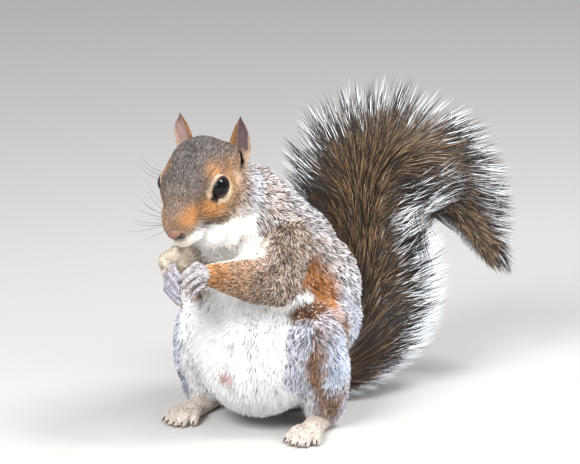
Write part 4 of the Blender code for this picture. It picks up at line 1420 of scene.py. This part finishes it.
def claw(root, way, length, thick):
    """A curved claw that thins to a point."""
    down = np.array([0, 0, -1.0])
    path = [root, root + way * length * 0.45 + [0, 0, 0.25], root + way * length * 0.9 + down * length * 0.32]
    return limb(path, (thick, thick * 0.72, 0.1), 8, 5, 0.8)


def make_claws():
    claws = []
    for side in EYES:
        for k in range(4):
            _, _, bend, tip = finger(side, k)
            claws.append(claw(tip, unit(unit(tip - bend) + [0, 0.25, -0.35]), 3.2, 0.7))
        for k in range(5):
            _, knuckle, tip = toe(side, k)
            claws.append(claw(tip + [0, 0, 0.3], unit((tip - knuckle) * [1, 1, 0]), 5.0, 1.0))
    return mesh_object("claws", *joined(claws), CLAW_MATERIAL)


def make_whiskers():
    """Three rows of whiskers on each side of the nose, and three hairs over each eye."""
    hairs = []
    for side in EYES:
        for k, (forward, up, out) in enumerate(WHISKER_ROOTS):
            row, column = divmod(k, 4)
            root = in_head(forward, up, side * out)
            length = rng.uniform(20, 33)
            way = unit(FORWARD * (0.35 - 0.25 * column) + LEFT * side * 0.9 + UP * (0.20 - 0.24 * row))
            droop = (-FORWARD * 0.35 - UP * 0.2) * length
            path = [root - way, root + way * length * 0.33, root + way * length * 0.68 + droop * 0.3,
                    root + way * length + droop * 0.8]
            hairs.append(limb(path, (0.09, 0.085, 0.06, 0.02), 5, 4))
        for k in range(3):
            root = in_head(9 - 2.5 * k, 6.5, side * 12.5)
            way = unit(UP * 0.7 + LEFT * side * 0.7 + FORWARD * 0.25)
            path = [root - way, root + way * 10, root + way * 19 - FORWARD * 5]
            hairs.append(limb(path, (0.1, 0.08, 0.03), 5, 4))
    return mesh_object("whiskers", *joined(hairs), WHISKER_MATERIAL)


# --- Floor, light and camera ---

AZIMUTH, ELEVATION = math.radians(32), math.radians(15)
RIGHT = np.array([math.cos(AZIMUTH), math.sin(AZIMUTH), 0])
BACK = np.array(
    [math.sin(AZIMUTH) * math.cos(ELEVATION), -math.cos(AZIMUTH) * math.cos(ELEVATION), math.sin(ELEVATION)]
)  # from the animal to the camera
TARGET = at(-15.5, 21.6, 99.2)
DISTANCE = 2300.0
SENSOR = 36.0
VIEW_WIDTH = 336.4  # how much of the scene the picture shows from side to side, at the animal
FLOOR_HALF = 3000.0
LIGHTS = {
    "key": ((1050, -480, 520), 0.55, 25, True),
    "fill": ((900, 900, 200), 1.2, 14, False),
    "top": ((350, 560, 1000), 0.42, 14, True),
}  # place from the target (towards the camera, right and up), size in metres, power, mirrored in the eye
WORLD_COLOUR, WORLD_STRENGTH = (0.93, 0.95, 1.0, 1), 0.55


def aimed(name, data, place):
    """An object for a light or a camera, turned to the target."""
    obj = bpy.data.objects.new(name, data)
    obj.location = Vector(place) * MM
    obj.rotation_mode = "QUATERNION"
    obj.rotation_quaternion = Vector(TARGET - place).to_track_quat("-Z", "Y")
    bpy.context.scene.collection.objects.link(obj)
    return obj


def make_stage():
    """Floor, three lamps, camera and a pale sky."""
    corners = np.array([(-1, -1, 0), (1, -1, 0), (1, 1, 0), (-1, 1, 0)]) * FLOOR_HALF
    floor = mesh_object("floor", corners, [(0, 1, 2, 3)], FLOOR_MATERIAL)
    lights = []
    for name, ((back, right, up), size, power, mirrored) in LIGHTS.items():
        lamp = bpy.data.lights.new(name, "AREA")
        lamp.size, lamp.energy = size, power
        lights.append(aimed(name, lamp, TARGET + BACK * back + RIGHT * right + [0, 0, up]))
        lights[-1].visible_glossy = mirrored
    camera = bpy.data.cameras.new("camera")
    camera.sensor_width = SENSOR
    camera.lens = SENSOR * DISTANCE / VIEW_WIDTH
    scene = bpy.context.scene
    scene.camera = aimed("camera", camera, TARGET + BACK * DISTANCE)
    scene.world = bpy.data.worlds.new("studio")
    scene.world.use_nodes = True
    sky = scene.world.node_tree.nodes["Background"]
    sky.inputs["Color"].default_value = WORLD_COLOUR
    sky.inputs["Strength"].default_value = WORLD_STRENGTH
    scene.view_settings.view_transform = "Standard"


make_stage()
skin, nose, rims = make_skin()
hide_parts(*(node for node in FLESH if node != "nose"), *TAIL_NODES)
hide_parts("nose")
eyeballs = make_eyes()
for eyeball in eyeballs:
    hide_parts("eye_" + eyeball.name[-1])
claws, whiskers = make_claws(), make_whiskers()
coat = make_coat()
tail = tail_pieces()
for piece in [skin, nose, rims, *eyeballs, claws, whiskers, *coat, *tail]:
    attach(piece, "root")
